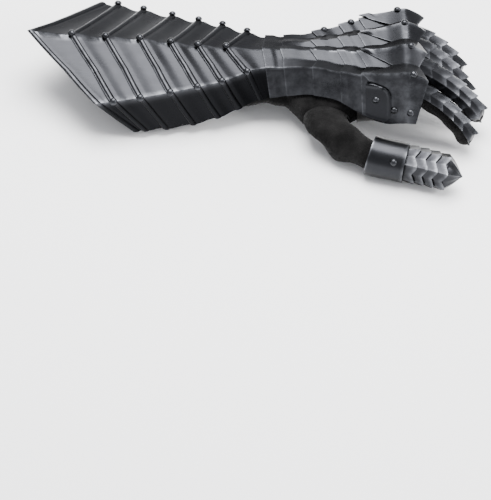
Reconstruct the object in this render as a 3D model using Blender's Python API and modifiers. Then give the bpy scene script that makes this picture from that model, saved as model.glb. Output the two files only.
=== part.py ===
"""Armoured gauntlet for a left hand, lying palm down.

Lengths are in metres. Every piece is worked out in the hand frame: x runs along the keel from
the elbow tip towards the fingers, z rises from the palm and the thumb is on the -y side. The
last step lays the whole gauntlet down on its cuff edges and fingertips.
"""
import math

import bmesh
import bpy
import numpy as np
from mathutils import Matrix, Vector

# Main sizes of the steel
CUFF_LENGTH = 0.206
HAND_LENGTH = 0.130
ELBOW_HALF = 0.068
WRIST_HALF = 0.0215
KNUCKLE_HALF = 0.0415
CORNER_HEIGHT = 0.069
KEEL_RISE = 0.024
WALL_HEIGHT = 0.037
WALL_SPLAY = 0.013
KNUCKLE_HEIGHT = 0.080
KNUCKLE_CROWN = 0.0075
FLUTE_DEPTH = 0.006
SIDE_HEIGHT = 0.042
SIDE_SPLAY = 0.016
PLATE = 0.0012
LAME_GAP = 0.0005
LAP_LENGTH = 0.006
RAMP_LENGTH = 0.0025
END_CLEARANCE = 0.0012
KNUCKLE_CLEARANCE = 0.0009
BEAD_HEIGHT = 0.0014
BEAD_WIDTH = 0.0040
BEAD_INSET = 0.0004
RIVET_RADIUS = 0.0031
RIVET_HEIGHT = 0.0018
RIVET_SINK = 0.0006
RIVET_SETBACK = 0.0022

# Glove, straps and buckle
LEATHER = 0.0014
LINING_GAP = 0.0015
SIDE_ROOM = 0.0050
STRAP_WIDTH = 0.015
STRAP_THICKNESS = 0.0025
STRAP_GAP = 0.0004
STRAP_RISE = 0.026
STRAP_TURN = 0.010
STRAP_HOLES = 5
PALM_STRAP_GAP = 0.0006
BUCKLE_CORNER = 0.0035
STRAP_HOLE_RADIUS = 0.0019
STRAP_HOLE_PITCH = 0.012
BUCKLE_LENGTH = 0.022
BUCKLE_WIDTH = 0.026
BUCKLE_WIRE = 0.0013
DISC_RADIUS = 0.005
DISC_THICKNESS = 0.0014

# Shares of the named sizes, one row for each section of the steel surface
CUFF_SECTIONS = (
    # along, flare, corner, keel, splay, drop, thumb_drop
    (0.000, 1.200, 1.020, 1.00, 0.30, 0.95, 0.95),
    (0.290, 0.994, 1.000, 0.75, 0.30, 0.95, 0.95),
    (0.475, 0.796, 0.978, 0.70, 0.30, 0.95, 0.95),
    (0.695, 0.512, 0.971, 0.43, 0.50, 1.00, 1.00),
    (0.825, 0.335, 0.978, 0.31, 0.65, 0.95, 0.90),
    (1.000, 0.000, 1.007, 0.15, 0.85, 0.80, 0.72),
)
HAND_SECTIONS = (
    # along, spread, middle, ring, corner, crown_middle, crown_ring, flute, splay, drop, thumb_drop
    (0.123, -0.02, -0.00, 0.50, 0.04, 0.45, 0.25, 0.05, 0.66, 0.68, 0.58),
    (0.338, 0.10, -0.09, 0.40, 0.27, 0.25, 0.27, 0.30, 0.66, 0.74, 0.54),
    (0.530, 0.50, -0.19, 0.37, 0.41, 0.33, 0.33, 0.55, 0.72, 0.84, 0.58),
    (0.670, 0.775, -0.27, 0.35, 0.59, 0.40, 0.47, 0.80, 0.85, 0.94, 0.80),
    (0.840, 0.925, -0.31, 0.35, 0.82, 0.67, 0.80, 1.00, 1.00, 1.00, 1.00),
    (0.985, 1.000, -0.32, 0.36, 1.00, 0.95, 1.07, 1.00, 1.00, 1.00, 1.00),
    (1.077, 1.010, -0.33, 0.35, 0.55, 0.93, 1.05, 0.90, 1.00, 0.92, 0.92),
    (1.154, 1.000, -0.33, 0.35, -0.27, 0.90, 1.00, 0.80, 0.95, 0.72, 0.72),
)
# Lame edges: where each one crosses the keel, and how far it is swept at the corners, at the
# free edges, in the valleys and half way down the sides, in shares of CUFF_LENGTH or HAND_LENGTH
CUFF_EDGES = (
    # keel, corner, free, valley, side
    (0.000, 0.291, 0.160, 0.0, 0.0),
    (0.177, 0.184, 0.131, 0.0, 0.0),
    (0.320, 0.153, 0.107, 0.0, 0.0),
    (0.466, 0.133, 0.097, 0.0, 0.0),
    (0.597, 0.117, 0.087, 0.0, 0.0),
    (0.714, 0.104, 0.073, 0.0, 0.0),
    (0.835, 0.090, 0.058, 0.0, 0.0),
    (1.000, 0.015, 0.019, 0.0, 0.0),
)
HAND_EDGES = (
    # keel, corner, free, valley, side
    (0.123, 0.023, 0.023, 0.008, 0.0),
    (0.323, 0.015, 0.015, 0.046, 0.0),
    (0.508, 0.015, 0.015, 0.046, 0.0),
    (0.640, 0.023, 0.015, 0.054, 0.0),
)
TONGUE_EDGE = (0.665, 0.000, 0.160, 0.215, 0.090)
HAND_LAST_END = 0.900
KNUCKLE_LIP = (1.120, 0.000, -0.080, -0.060, 0.0)
# Columns of the steel surface from the thumb-side free edge over the ridges to the other one
CORNER_SHARE = np.array([1.0, 1.0, 1.0, 0.55, 0.0, 0.30, 0.55, 0.78, 1.0, 1.0, 1.0])
FREE_SHARE = np.array([1.0, 0.5, 0, 0, 0, 0, 0, 0, 0, 0.5, 1.0])
VALLEY_SHARE = np.array([0, 0, 0, 1.0, 0, 1.0, 0, 1.0, 0, 0, 0])
SIDE_SHARE = np.array([0, 1.0, 0, 0, 0, 0, 0, 0, 0, 1.0, 0])
THUMB_FREE, THUMB_CORNER, KEEL, RING_RIDGE, FAR_CORNER, FAR_FREE = 0, 2, 4, 6, 8, 10
ALL_COLUMNS = np.arange(11)
# Rivets of the knuckle plate: ridge column and share of HAND_LENGTH, then share of HAND_LENGTH
# and share of the way down the side tab
KNUCKLE_RIVETS = ((THUMB_CORNER, 1.015), (KEEL, 1.005), (RING_RIDGE, 0.970), (FAR_CORNER, 0.930))
TAB_RIVETS = ((0.890, 0.72), (1.000, 0.78))
CUFF_COLUMNS = np.array([0, 2, 3, 4, 6, 8, 10])

# Fingers: shares of KNUCKLE_HALF and KNUCKLE_HEIGHT for the root, then reach,
# pitches and yaw in real units
FINGER_HALF = 0.0114
FINGER_RIDGE = 0.0126
FINGER_TUBE = 0.0092
FINGER_SIDES = 8
SEAT_GAP = 0.0009
SCALE_PLATE = 0.0010
SCALE_LEVEL = 0.0015
SCALE_LAP = 0.0035
TOOTH = 0.0035
FINGERS = (
    # name, across, height, reach, first pitch, last pitch, yaw, scales
    ("index", -0.860, 0.775, 0.089, 18.0, 68.0, -10.0, 6),
    ("middle", -0.300, 0.878, 0.100, 19.0, 62.0, -6.5, 6),
    ("ring", 0.312, 0.881, 0.093, 22.0, 70.0, -4.0, 6),
    ("little", 0.850, 0.792, 0.080, 18.0, 68.0, -0.5, 5),
)
# Facets of a scale: across (share of the half width), height (share of the ridge), tooth
SCALE_PROFILE = (
    (-1.00, -0.15, 0.2),
    (-0.86, 0.42, 1.0),
    (-0.46, 0.74, 0.0),
    (0.00, 1.00, 1.2),
    (0.46, 0.74, 0.0),
    (0.86, 0.42, 1.0),
    (1.00, -0.15, 0.2),
)

# Rows of a scale from its tucked end to its free edge: level, girth and tooth shares
SCALE_ROWS = (
    (0.0, 1.0, 1.0),
    (0.0, 1.0, 1.0),
    (1.0, 1.0, 1.0),
    (1.0, 1.0, 1.0),
)
TIP_ROWS = (
    (0.0, 1.0, 1.0),
    (0.0, 1.0, 1.0),
    (0.3, 1.0, 0.5),
    (0.0, 0.88, 0.0),
    (0.0, 0.48, 0.0),
)
FIRST_SCALE = 0.008
TIP_COVER = 0.0045
FINGER_TAPER = 0.16
DOME_SHARE = 1.25
THUMB_TIP_COVER = 0.010
THUMB_HALF = 0.0174
THUMB_RIDGE = 0.0180
THUMB_TUBE = 0.0135
THUMB_LEVEL = 0.0020
THUMB_RIVET_SHARE = 0.22
THUMB_ROLL = 52.0
THUMB_REACH = 0.1125
THUMB_SCALES = 5
THUMB_WRAP = 100.0
THUMB_PLATE_START = 0.44
THUMB_PLATE_END = 0.66
# Thumb route from its root in the glove's side, as shares of THUMB_REACH
THUMB_ROUTE = (
    # forward, outward, down
    (0.000, 0.000, 0.000),
    (0.000, 0.050, 0.000),
    (0.055, 0.145, 0.030),
    (0.185, 0.255, 0.075),
    (0.360, 0.325, 0.110),
    (0.560, 0.372, 0.130),
    (0.790, 0.425, 0.150),
    (0.960, 0.470, 0.168),
)
THUMB_ROOT_ALONG = 0.440
THUMB_ROOT_HEIGHT = 0.0325
THUMB_ROOT_FLAT = 0.0088
THENAR_OUT = 0.0440
THENAR_TOP = 0.0415
THENAR_LOW = 0.0235
THENAR_DROP = 0.0015

# Palm strap's middle and its two edges, as shares of the whole length
PALM_STRAP_ALONG = 0.885
PALM_STRAP_NEAR = PALM_STRAP_ALONG - STRAP_WIDTH / 2 / (CUFF_LENGTH + HAND_LENGTH)
PALM_STRAP_FAR = PALM_STRAP_ALONG + STRAP_WIDTH / 2 / (CUFF_LENGTH + HAND_LENGTH)
GLOVE_END = 0.971
# Glove sections: share of the whole length from elbow tip to knuckles, palm height in shares
# of CORNER_HEIGHT, how much of the thumb's mound the section carries, and its share of SIDE_ROOM
GLOVE_SECTIONS = (
    # along, palm, thenar, room
    (0.285, 0.600, 0.0, 1.00),
    (0.370, 0.560, 0.0, 1.00),
    (0.460, 0.500, 0.0, 0.60),
    (0.550, 0.440, 0.0, 0.40),
    (0.625, 0.400, 0.0, 0.35),
    (0.678, 0.360, 0.0, 0.35),
    (0.722, 0.310, 1.0, 0.35),
    (0.785, 0.305, 1.0, 0.35),
    (0.834, 0.320, 1.0, 0.40),
    (PALM_STRAP_NEAR, 0.345, 0.3, 0.80),
    (PALM_STRAP_FAR, 0.400, 0.15, 0.90),
    (0.945, 0.520, 0.0, 0.60),
    (GLOVE_END, 0.620, 0.0, 0.50),
)
PALM_ROLL = 0.010
CUFF_STRAP_ALONG = 0.500
CUFF_STRAP_HEIGHT = 0.0365
BUCKLE_ACROSS = 0.012
STRAP_TAIL = 0.034

COLOURS = {
    # red, green, blue, roughness, metallic
    "blackened_steel": (0.045, 0.046, 0.050, 0.32, 1.0),
    "suede": (0.012, 0.011, 0.011, 0.95, 0.0),
    "strap_leather": (0.030, 0.029, 0.029, 0.60, 0.0),
    "silver": (0.60, 0.60, 0.60, 0.25, 1.0),
}


def clear_scene():
    for item in list(bpy.data.objects):
        bpy.data.objects.remove(item, do_unlink=True)


def make_collection(name):
    group = bpy.data.collections.new(name)
    bpy.context.scene.collection.children.link(group)
    return group


def make_materials():
    made = {}
    for name, (red, green, blue, roughness, metallic) in COLOURS.items():
        material = bpy.data.materials.new(name)
        material.use_nodes = True
        shader = material.node_tree.nodes["Principled BSDF"]
        shader.inputs["Base Color"].default_value = (red, green, blue, 1.0)
        shader.inputs["Roughness"].default_value = roughness
        shader.inputs["Metallic"].default_value = metallic
        made[name] = material
    return made


def add_mesh(name, vertices, faces, material, group):
    mesh = bpy.data.meshes.new(name)
    mesh.from_pydata([tuple(map(float, point)) for point in vertices], [], faces)
    mesh.update()
    item = bpy.data.objects.new(name, mesh)
    item.data.materials.append(material)
    group.objects.link(item)
    return item


def grid_faces(rows, columns, wrap=False):
    """Quads of a grid whose rows run along x and whose columns run towards +y over the top."""
    last = columns if wrap else columns - 1
    faces = []
    for row in range(rows - 1):
        for column in range(last):
            after = (column + 1) % columns
            here = row * columns
            faces.append((here + column, here + columns + column, here + columns + after, here + after))
    return faces


def thicken(item, thickness):
    """Gives an open surface its wall, on the inner side of its normals."""
    wall = item.modifiers.new("wall", "SOLIDIFY")
    wall.thickness = thickness
    wall.offset = -1.0
    wall.use_even_offset = True
    return wall


def smooth(value, known, heights):
    """Cubic Hermite curve through (known, heights), with central slopes."""
    known = np.asarray(known, float)
    heights = np.asarray(heights, float)
    slopes = np.gradient(heights, known)
    value = np.clip(value, known[0], known[-1])
    place = np.clip(np.searchsorted(known, value, side="right") - 1, 0, len(known) - 2)
    span = known[place + 1] - known[place]
    share = (value - known[place]) / span
    start = (2 * share**3 - 3 * share**2 + 1) * heights[place]
    end = (-2 * share**3 + 3 * share**2) * heights[place + 1]
    rise = (share**3 - 2 * share**2 + share) * span * slopes[place]
    fall = (share**3 - share**2) * span * slopes[place + 1]
    return start + end + rise + fall


def section_columns():
    """Real sizes of every section: x, half, middle, ring, corner, crowns, flute, splay, drops."""
    rows = []
    for along, flare, corner, keel, splay, drop, thumb_drop in CUFF_SECTIONS:
        half = WRIST_HALF + flare * (ELBOW_HALF - WRIST_HALF)
        rise = keel * KEEL_RISE
        rows.append((along * CUFF_LENGTH, half, 0.0, half / 2, corner * CORNER_HEIGHT, rise, rise / 2,
                     0.0, splay * WALL_SPLAY, drop * WALL_HEIGHT, thumb_drop * WALL_HEIGHT))
    for along, spread, middle, ring, corner, crown, crown_ring, flute, splay, drop, thumb_drop in HAND_SECTIONS:
        half = WRIST_HALF + spread * (KNUCKLE_HALF - WRIST_HALF)
        height = CORNER_HEIGHT + corner * (KNUCKLE_HEIGHT - CORNER_HEIGHT)
        rows.append((CUFF_LENGTH + along * HAND_LENGTH, half, middle * half, ring * half, height,
                     crown * KNUCKLE_CROWN, crown_ring * KNUCKLE_CROWN, flute * FLUTE_DEPTH,
                     splay * SIDE_SPLAY, drop * SIDE_HEIGHT, thumb_drop * SIDE_HEIGHT))
    return np.array(rows).T


SECTIONS = section_columns()


def section_points(x):
    """The eleven points (y, z) of the steel's outer line at each x, from free edge to free edge."""
    half, middle, ring, corner, crown, crown_ring, flute, splay, drop, thumb_drop = (
        smooth(x, SECTIONS[0], row) for row in SECTIONS[1:])
    keel = corner + crown
    ring_top = corner + crown_ring
    across = np.stack([-half - splay, -half - splay / 2, -half, (middle - half) / 2, middle,
                       (middle + ring) / 2, ring, (ring + half) / 2, half, half + splay / 2,
                       half + splay], axis=-1)
    height = np.stack([corner - thumb_drop, corner - thumb_drop / 2, corner, (corner + keel) / 2 - flute,
                       keel, (keel + ring_top) / 2 - flute, ring_top, (ring_top + corner) / 2 - flute,
                       corner, corner - drop / 2, corner - drop], axis=-1)
    return across, height


def outward(across, height):
    """Mitred outward direction at each point of a line that runs towards +y over the top."""
    step_y = np.diff(across, axis=-1)
    step_z = np.diff(height, axis=-1)
    size = np.hypot(step_y, step_z)
    normal_y, normal_z = -step_z / size, step_y / size
    before_y = np.concatenate([normal_y[..., :1], normal_y], axis=-1)
    before_z = np.concatenate([normal_z[..., :1], normal_z], axis=-1)
    after_y = np.concatenate([normal_y, normal_y[..., -1:]], axis=-1)
    after_z = np.concatenate([normal_z, normal_z[..., -1:]], axis=-1)
    scale = 1.0 + before_y * after_y + before_z * after_z
    return (before_y + after_y) / scale, (before_z + after_z) / scale


def steel_surface(x, level, columns):
    """Points of the steel surface: the chosen columns of the section at x, moved out by level."""
    across, height = section_points(x)
    side_y, side_z = outward(across, height)
    pick = (np.arange(x.shape[0])[:, None], np.arange(len(columns))[None, :], columns[None, :])
    y = across[pick] + side_y[pick] * level
    z = height[pick] + side_z[pick] * level
    return np.stack([x, y, z], axis=-1)


def edge_line(shares, start, length):
    """x of a lame's edge in each column."""
    keel, corner, free, valley, side = shares
    sweep = corner * CORNER_SHARE + free * FREE_SHARE + valley * VALLEY_SHARE + side * SIDE_SHARE
    return start + length * (keel + sweep)


def lame_edges():
    edges = [edge_line(row, 0.0, CUFF_LENGTH) for row in CUFF_EDGES]
    edges += [edge_line(row, CUFF_LENGTH, HAND_LENGTH) for row in HAND_EDGES]
    edges.append(np.full(len(ALL_COLUMNS), CUFF_LENGTH + HAND_LAST_END * HAND_LENGTH))
    return edges


LAP_LEVEL = PLATE + LAME_GAP
KNUCKLE_LEVEL = LAP_LEVEL + KNUCKLE_CLEARANCE


def lame_rows(start, end, first, beaded):
    """x and level of each row of a lame from its raised elbow-side edge to its tucked end."""
    if first:
        offsets = [0.0, BEAD_WIDTH / 3, BEAD_WIDTH, BEAD_WIDTH + RAMP_LENGTH]
        levels = [BEAD_HEIGHT / 2, BEAD_HEIGHT, BEAD_HEIGHT, 0.0]
    elif beaded:
        offsets = [0.0, BEAD_INSET + BEAD_WIDTH / 4, BEAD_WIDTH * 0.8, BEAD_WIDTH + BEAD_INSET,
                   LAP_LENGTH, LAP_LENGTH + RAMP_LENGTH]
        bead = LAP_LEVEL + BEAD_HEIGHT
        levels = [LAP_LEVEL, bead, bead, LAP_LEVEL, LAP_LEVEL, 0.0]
    else:
        offsets = [0.0, LAP_LENGTH, LAP_LENGTH + RAMP_LENGTH]
        levels = [LAP_LEVEL, LAP_LEVEL, 0.0]
    finish = end + LAP_LENGTH - END_CLEARANCE
    x = [start + offset for offset in offsets]
    if not beaded:
        x.append((x[-1] + end) / 2)
    x += [end, finish]
    levels += [0.0] * (len(x) - len(levels))
    return np.array(x), np.array(levels)[:, None] * np.ones((1, len(start)))


def add_rivet(shape, place, normal):
    """Adds a closed flat-topped head that sinks a little into its plate."""
    made = bmesh.ops.create_cone(shape, cap_ends=True, segments=8, radius1=RIVET_RADIUS,
                                 radius2=RIVET_RADIUS / 2, depth=RIVET_HEIGHT + RIVET_SINK)
    turn = normal.to_track_quat("Z", "Y").to_matrix().to_4x4()
    lift = Matrix.Translation(normal * (RIVET_HEIGHT - RIVET_SINK) / 2)
    bmesh.ops.transform(shape, matrix=lift @ Matrix.Translation(place) @ turn, verts=made["verts"])


def add_tool(name, shape, item, operation, tools):
    """Links a hidden tool mesh and the Boolean modifier that applies it to a piece."""
    mesh = bpy.data.meshes.new(name)
    shape.to_mesh(mesh)
    shape.free()
    tool = bpy.data.objects.new(name, mesh)
    tool.hide_render = True
    tool.display_type = "WIRE"
    tools.objects.link(tool)
    join = item.modifiers.new(name, "BOOLEAN")
    join.operation = operation
    join.object = tool


def fuse_rivets(item, seats, tools):
    """Joins rivet heads to a plate; seats holds a place and an outward direction for each."""
    shape = bmesh.new()
    for place, normal in seats:
        add_rivet(shape, place, normal)
    add_tool(item.name + "_rivets", shape, item, "UNION", tools)


def seat_on_steel(x, column, level, free=None, share=0.0):
    """Place and outward direction on the steel at x: on a ridge, or a share of the way down a side."""
    across, height = section_points(np.array([x]))
    side_y, side_z = outward(across, height)
    y, z = across[0, column], height[0, column]
    normal = np.array([0.0, side_y[0, column], side_z[0, column]])
    lift = level
    if free is None:
        lift = level * np.linalg.norm(normal)
    else:
        run_y, run_z = across[0, free] - y, height[0, free] - z
        turn = 1.0 if free > column else -1.0
        normal = np.array([0.0, -run_z * turn, run_y * turn])
        y, z = y + share * run_y, z + share * run_z
    normal = normal / np.linalg.norm(normal)
    return Vector(np.array([x, y, z]) + normal * lift), Vector(normal)


def make_lame(name, start, end, first, beaded, columns, kit):
    x, level = lame_rows(start[columns], end[columns], first, beaded)
    points = steel_surface(x, level, columns)
    item = add_mesh(name, points.reshape(-1, 3), grid_faces(*x.shape), kit["steel"], kit["group"])
    thicken(item, PLATE)
    return item


def make_cuff(kit):
    edges = lame_edges()
    for index in range(7):
        start, end = edges[index], edges[index + 1]
        item = make_lame(f"cuff_plate_{index + 1}", start, end, index == 0, True, CUFF_COLUMNS, kit)
        if index:
            seats = [seat_on_steel(start[column] + RIVET_SETBACK, column, LAP_LEVEL + BEAD_HEIGHT / 2)
                     for column in (THUMB_CORNER, KEEL, FAR_CORNER)]
            fuse_rivets(item, seats, kit["tools"])


def make_hand(kit):
    edges = lame_edges()
    make_lame("wrist_plate", edges[7], edges[8], False, False, ALL_COLUMNS, kit)
    for index in range(8, 12):
        start, end = edges[index], edges[index + 1]
        number = index - 7
        item = make_lame(f"hand_plate_{number}", start, end, False, False, ALL_COLUMNS, kit)
        lap_end = start + LAP_LENGTH + RAMP_LENGTH + RIVET_RADIUS
        seats = []
        if number in (2, 3):
            seats.append(seat_on_steel(lap_end[FAR_CORNER], FAR_CORNER, 0.0))
        if number == 4:
            seats.append(seat_on_steel(lap_end[0], THUMB_CORNER, 0.0, THUMB_FREE, 0.52))
            seats.append(seat_on_steel(lap_end[0], FAR_CORNER, 0.0, FAR_FREE, 0.52))
        if seats:
            fuse_rivets(item, seats, kit["tools"])


def knuckle_rows():
    """Rows of the knuckle plate, stacked two laps high over the last hand lame's own lap."""
    start = edge_line(TONGUE_EDGE, CUFF_LENGTH, HAND_LENGTH)
    lip = edge_line(KNUCKLE_LIP, CUFF_LENGTH, HAND_LENGTH)
    crest = np.full(len(start), CUFF_LENGTH + HAND_SECTIONS[5][0] * HAND_LENGTH)
    lap_end = lame_edges()[11] + LAP_LENGTH + RAMP_LENGTH
    stacked = start < lap_end
    over = np.maximum(start + RAMP_LENGTH, lap_end)
    down = over + RAMP_LENGTH
    x = np.array([start, over, down, (down + crest) / 2, crest, (crest + lip) / 2, lip])
    level = np.ones(x.shape) * KNUCKLE_LEVEL
    level[:2] += stacked * LAP_LEVEL
    return x, level


def make_knuckle_plate(kit):
    x, level = knuckle_rows()
    points = steel_surface(x, level, ALL_COLUMNS)
    item = add_mesh("knuckle_plate", points.reshape(-1, 3), grid_faces(*x.shape), kit["steel"], kit["group"])
    thicken(item, PLATE)
    seats = []
    for column, along in KNUCKLE_RIVETS:
        seats.append(seat_on_steel(CUFF_LENGTH + along * HAND_LENGTH, column, KNUCKLE_LEVEL))
    for column, free in ((THUMB_CORNER, THUMB_FREE), (FAR_CORNER, FAR_FREE)):
        for along, share in TAB_RIVETS:
            seats.append(seat_on_steel(CUFF_LENGTH + along * HAND_LENGTH, column, KNUCKLE_LEVEL, free, share))
    fuse_rivets(item, seats, kit["tools"])


def path_frames(points, roll):
    """Length along a path, with its tangent, sideways and dorsal directions at each point."""
    steps = np.linalg.norm(np.diff(points, axis=0), axis=1)
    along = np.concatenate([[0.0], np.cumsum(steps)])
    tangent = np.gradient(points, along, axis=0)
    tangent /= np.linalg.norm(tangent, axis=1, keepdims=True)
    side = np.cross([0.0, 0.0, 1.0], tangent)
    side /= np.linalg.norm(side, axis=1, keepdims=True)
    dorsal = np.cross(tangent, side)
    angle = math.radians(roll)
    turned = math.cos(angle) * dorsal - math.sin(angle) * side
    flat = math.cos(angle) * side + math.sin(angle) * dorsal
    return along, points, tangent, flat, turned


def along_path(path, s):
    """Point, sideways and dorsal direction at each length s, straight on past the path's end."""
    length, points, tangent, side, dorsal = path
    inside = np.clip(s, 0.0, length[-1])
    place = np.stack([np.interp(inside, length, points[:, i]) for i in range(3)], axis=-1)
    place = place + (s - inside)[..., None] * tangent[-1]
    across = np.stack([np.interp(inside, length, side[:, i]) for i in range(3)], axis=-1)
    up = np.stack([np.interp(inside, length, dorsal[:, i]) for i in range(3)], axis=-1)
    return place, across, up


def glove_front():
    return GLOVE_END * (CUFF_LENGTH + HAND_LENGTH)


def finger_path(row):
    """A finger's centre line: pitch falls evenly from the knuckle to the tip."""
    _, across, height, reach, first, last, yaw, _ = row
    root = np.array([glove_front() + SEAT_GAP, across * KNUCKLE_HALF, height * KNUCKLE_HEIGHT])
    s = np.linspace(0.0, reach, 15)
    pitch = np.radians(first + (last - first) * s / reach)
    turn = math.radians(yaw)
    heading = np.stack([np.cos(pitch) * math.cos(turn), np.cos(pitch) * math.sin(turn), -np.sin(pitch)], -1)
    middle = (heading[1:] + heading[:-1]) / 2 * np.diff(s)[:, None]
    points = root + np.concatenate([np.zeros((1, 3)), np.cumsum(middle, axis=0)])
    return path_frames(points, 0.0)


def thumb_path():
    route = np.array(THUMB_ROUTE) * THUMB_REACH
    steps = np.concatenate([[0.0], np.cumsum(np.linalg.norm(np.diff(route, axis=0), axis=1))])
    s = np.linspace(0.0, steps[-1], 22)
    forward, out, down = (smooth(s, steps, route[:, i]) for i in range(3))
    root = thumb_root()
    points = np.stack([root[0] + forward, root[1] - out, root[2] - down], axis=-1)
    return path_frames(points, 0.0)


def thumb_root():
    return np.array([CUFF_LENGTH + THUMB_ROOT_ALONG * HAND_LENGTH, -THENAR_OUT - LAME_GAP, THUMB_ROOT_HEIGHT])


def make_scale(name, path, span, half, ridge, tip, kit):
    """A faceted scale over part of a path: its profile carried along with toothed edges."""
    profile = np.array(SCALE_PROFILE)
    begin, finish = span
    if tip:
        middle = begin + SCALE_LAP + (finish - begin - SCALE_LAP) / 2
        s_rows = np.array([begin, begin + SCALE_LAP, middle, finish, finish + tip])
        level, shrink, teeth = np.array(TIP_ROWS).T
    else:
        s_rows = np.array([begin, begin + SCALE_LAP, finish, finish + SCALE_LAP])
        level, shrink, teeth = np.array(SCALE_ROWS).T
    level = level * SCALE_LEVEL
    s = s_rows[:, None] + teeth[:, None] * (profile[:, 2] * TOOTH)[None, :]
    place, across, up = along_path(path, s)
    taper = 1.0 - FINGER_TAPER * np.clip(s / path[0][-1], 0.0, 1.0)
    wide = profile[:, 0][None, :] * half * taper * shrink[:, None]
    high = profile[:, 1][None, :] * ridge * taper * shrink[:, None]
    out_y, out_z = outward(wide, high)
    wide = wide + out_y * level[:, None]
    high = high + out_z * level[:, None]
    points = place + across * wide[..., None] + up * high[..., None]
    item = add_mesh(name, points.reshape(-1, 3), grid_faces(*s.shape), kit["steel"], kit["group"])
    thicken(item, SCALE_PLATE)
    return item


def make_scales(name, path, begin, end, count, half, ridge, tip, kit):
    pitch = (end - begin) / count
    for index in range(count):
        span = (begin + index * pitch, begin + (index + 1) * pitch)
        last = index == count - 1
        make_scale(f"{name}_scale_{index + 1}", path, span, half, ridge, tip if last else 0.0, kit)


def make_finger_scales(kit):
    for row in FINGERS:
        path = finger_path(row)
        make_scales(row[0], path, FIRST_SCALE, row[3] - TIP_COVER / 2, row[7], FINGER_HALF, FINGER_RIDGE,
                    TIP_COVER, kit)


def make_thumb_steel(kit):
    points = thumb_path()[1]
    path = path_frames(points, THUMB_ROLL)
    length = path[0][-1]
    begin, end = THUMB_PLATE_START * length, THUMB_PLATE_END * length
    profile = np.radians(np.linspace(-THUMB_WRAP, THUMB_WRAP, 9))
    s = np.array([begin, begin + (end - begin) / 3, begin + 2 * (end - begin) / 3, end, end + SCALE_LAP])
    s = s[:, None] * np.ones((1, len(profile)))
    taper = 1.0 - FINGER_TAPER * s / length
    wide = np.sin(profile)[None, :] * (THUMB_HALF * taper + THUMB_LEVEL)
    high = np.cos(profile)[None, :] * (THUMB_RIDGE * taper + THUMB_LEVEL)
    place, across, up = along_path(path, s)
    points = place + across * wide[..., None] + up * high[..., None]
    item = add_mesh("thumb_plate", points.reshape(-1, 3), grid_faces(*s.shape), kit["steel"], kit["group"])
    thicken(item, PLATE)
    spot = end + THUMB_RIVET_SHARE * (begin - end)
    seat = along_path(path, np.array([spot]))
    normal = seat[2][0]
    place = seat[0][0] + normal * (THUMB_RIDGE * (1.0 - FINGER_TAPER * spot / length) + THUMB_LEVEL)
    fuse_rivets(item, [(Vector(place), Vector(normal))], kit["tools"])
    make_scales("thumb", path, end - SCALE_LAP / 2, length, THUMB_SCALES, THUMB_HALF, THUMB_RIDGE, THUMB_TIP_COVER, kit)


def tube_rings(path, radius, flat_root, sides, rings):
    """Rings of a glove finger: round along the path and closing to a dome at its end."""
    length = path[0][-1]
    dome = radius * DOME_SHARE
    s = np.concatenate([np.linspace(0.0, length - dome, rings), length - dome * np.array([0.55, 0.2])])
    share = np.clip((s - (length - dome)) / dome, 0.0, 1.0)
    girth = radius * (1.0 - FINGER_TAPER * s / length) * np.sqrt(1.0 - share**2)
    angle = np.arange(sides) / sides * 2 * math.pi
    place, across, up = along_path(path, s)
    height = girth * (1.0 + (flat_root / radius - 1.0) * np.clip(1.0 - s / (2.5 * radius), 0.0, 1.0))
    wide = -np.cos(angle)[None, :, None] * girth[:, None, None]
    high = np.sin(angle)[None, :, None] * height[:, None, None]
    points = place[:, None, :] + across[:, None, :] * wide + up[:, None, :] * high
    flat = int(np.argmax(np.abs(path[2][0])))
    points[0, :, flat] = path[1][0, flat]
    pole = path[1][-1]
    return points, pole


def make_glove_finger(name, path, radius, flat_root, sides, rings, kit):
    points, pole = tube_rings(path, radius, flat_root, sides, rings)
    rows = points.shape[0]
    faces = grid_faces(rows, sides, wrap=True)
    last = (rows - 1) * sides
    for column in range(sides):
        faces.append((last + column, rows * sides, last + (column + 1) % sides))
    vertices = np.concatenate([points.reshape(-1, 3), pole[None, :]])
    item = add_mesh(name, vertices, faces, kit["suede"], kit["group"])
    thicken(item, LEATHER)
    return item


def glove_side(points, sign, low, thenar, room):
    """Side of a glove section from below its corner to the palm, inside the steel's side."""
    corner, free = points
    share = np.clip((corner[1] - low) / (corner[1] - free[1]), 0.0, 1.0)
    inset = sign * (PLATE + room)
    line = []
    for part in (0.30, 0.62, 0.82, 1.0):
        y = corner[0] + part * share * (free[0] - corner[0]) - inset
        line.append(np.array([y, corner[1] - part * (corner[1] - low)]))
    if thenar:
        hip = free[1] - THENAR_DROP
        aims = ((line[0][0], (corner[1] + hip) / 2), (free[0] - inset, hip),
                (-THENAR_OUT, THENAR_TOP), (-THENAR_OUT, THENAR_LOW))
        line = [point + thenar * (np.array(aim) - point) for point, aim in zip(line, aims)]
    return line


def glove_ring(x, palm, thenar, room):
    """One closed section of the glove: under the steel on top, down the sides, round the palm."""
    across, height = section_points(np.array([x]))
    side_y, side_z = outward(across, height)
    across, height, side_y, side_z = across[0], height[0], side_y[0], side_z[0]
    top = slice(THUMB_CORNER, FAR_FREE - 1)
    inset = np.full(7, PLATE + LINING_GAP)
    inset[[0, -1]] = PLATE + room
    y = across[top] - side_y[top] * inset
    z = height[top] - side_z[top] * inset
    low = palm + PALM_ROLL
    far = glove_side(((across[8], height[8]), (across[10], height[10])), 1.0, low, 0.0, room)
    near = glove_side(((across[2], height[2]), (across[0], height[0])), -1.0, low, thenar, room)
    points = list(zip(y, z)) + far
    for share in (0.86, 0.45, 0.0):
        points.append((share * far[3][0], palm + (far[3][1] - palm) * share**4 * 0.5))
    for share in (0.45, 0.86):
        points.append((share * near[3][0], palm + (near[3][1] - palm) * share**4 * 0.5))
    points += near[::-1]
    return [(x, y_value, z_value) for y_value, z_value in points]


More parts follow.
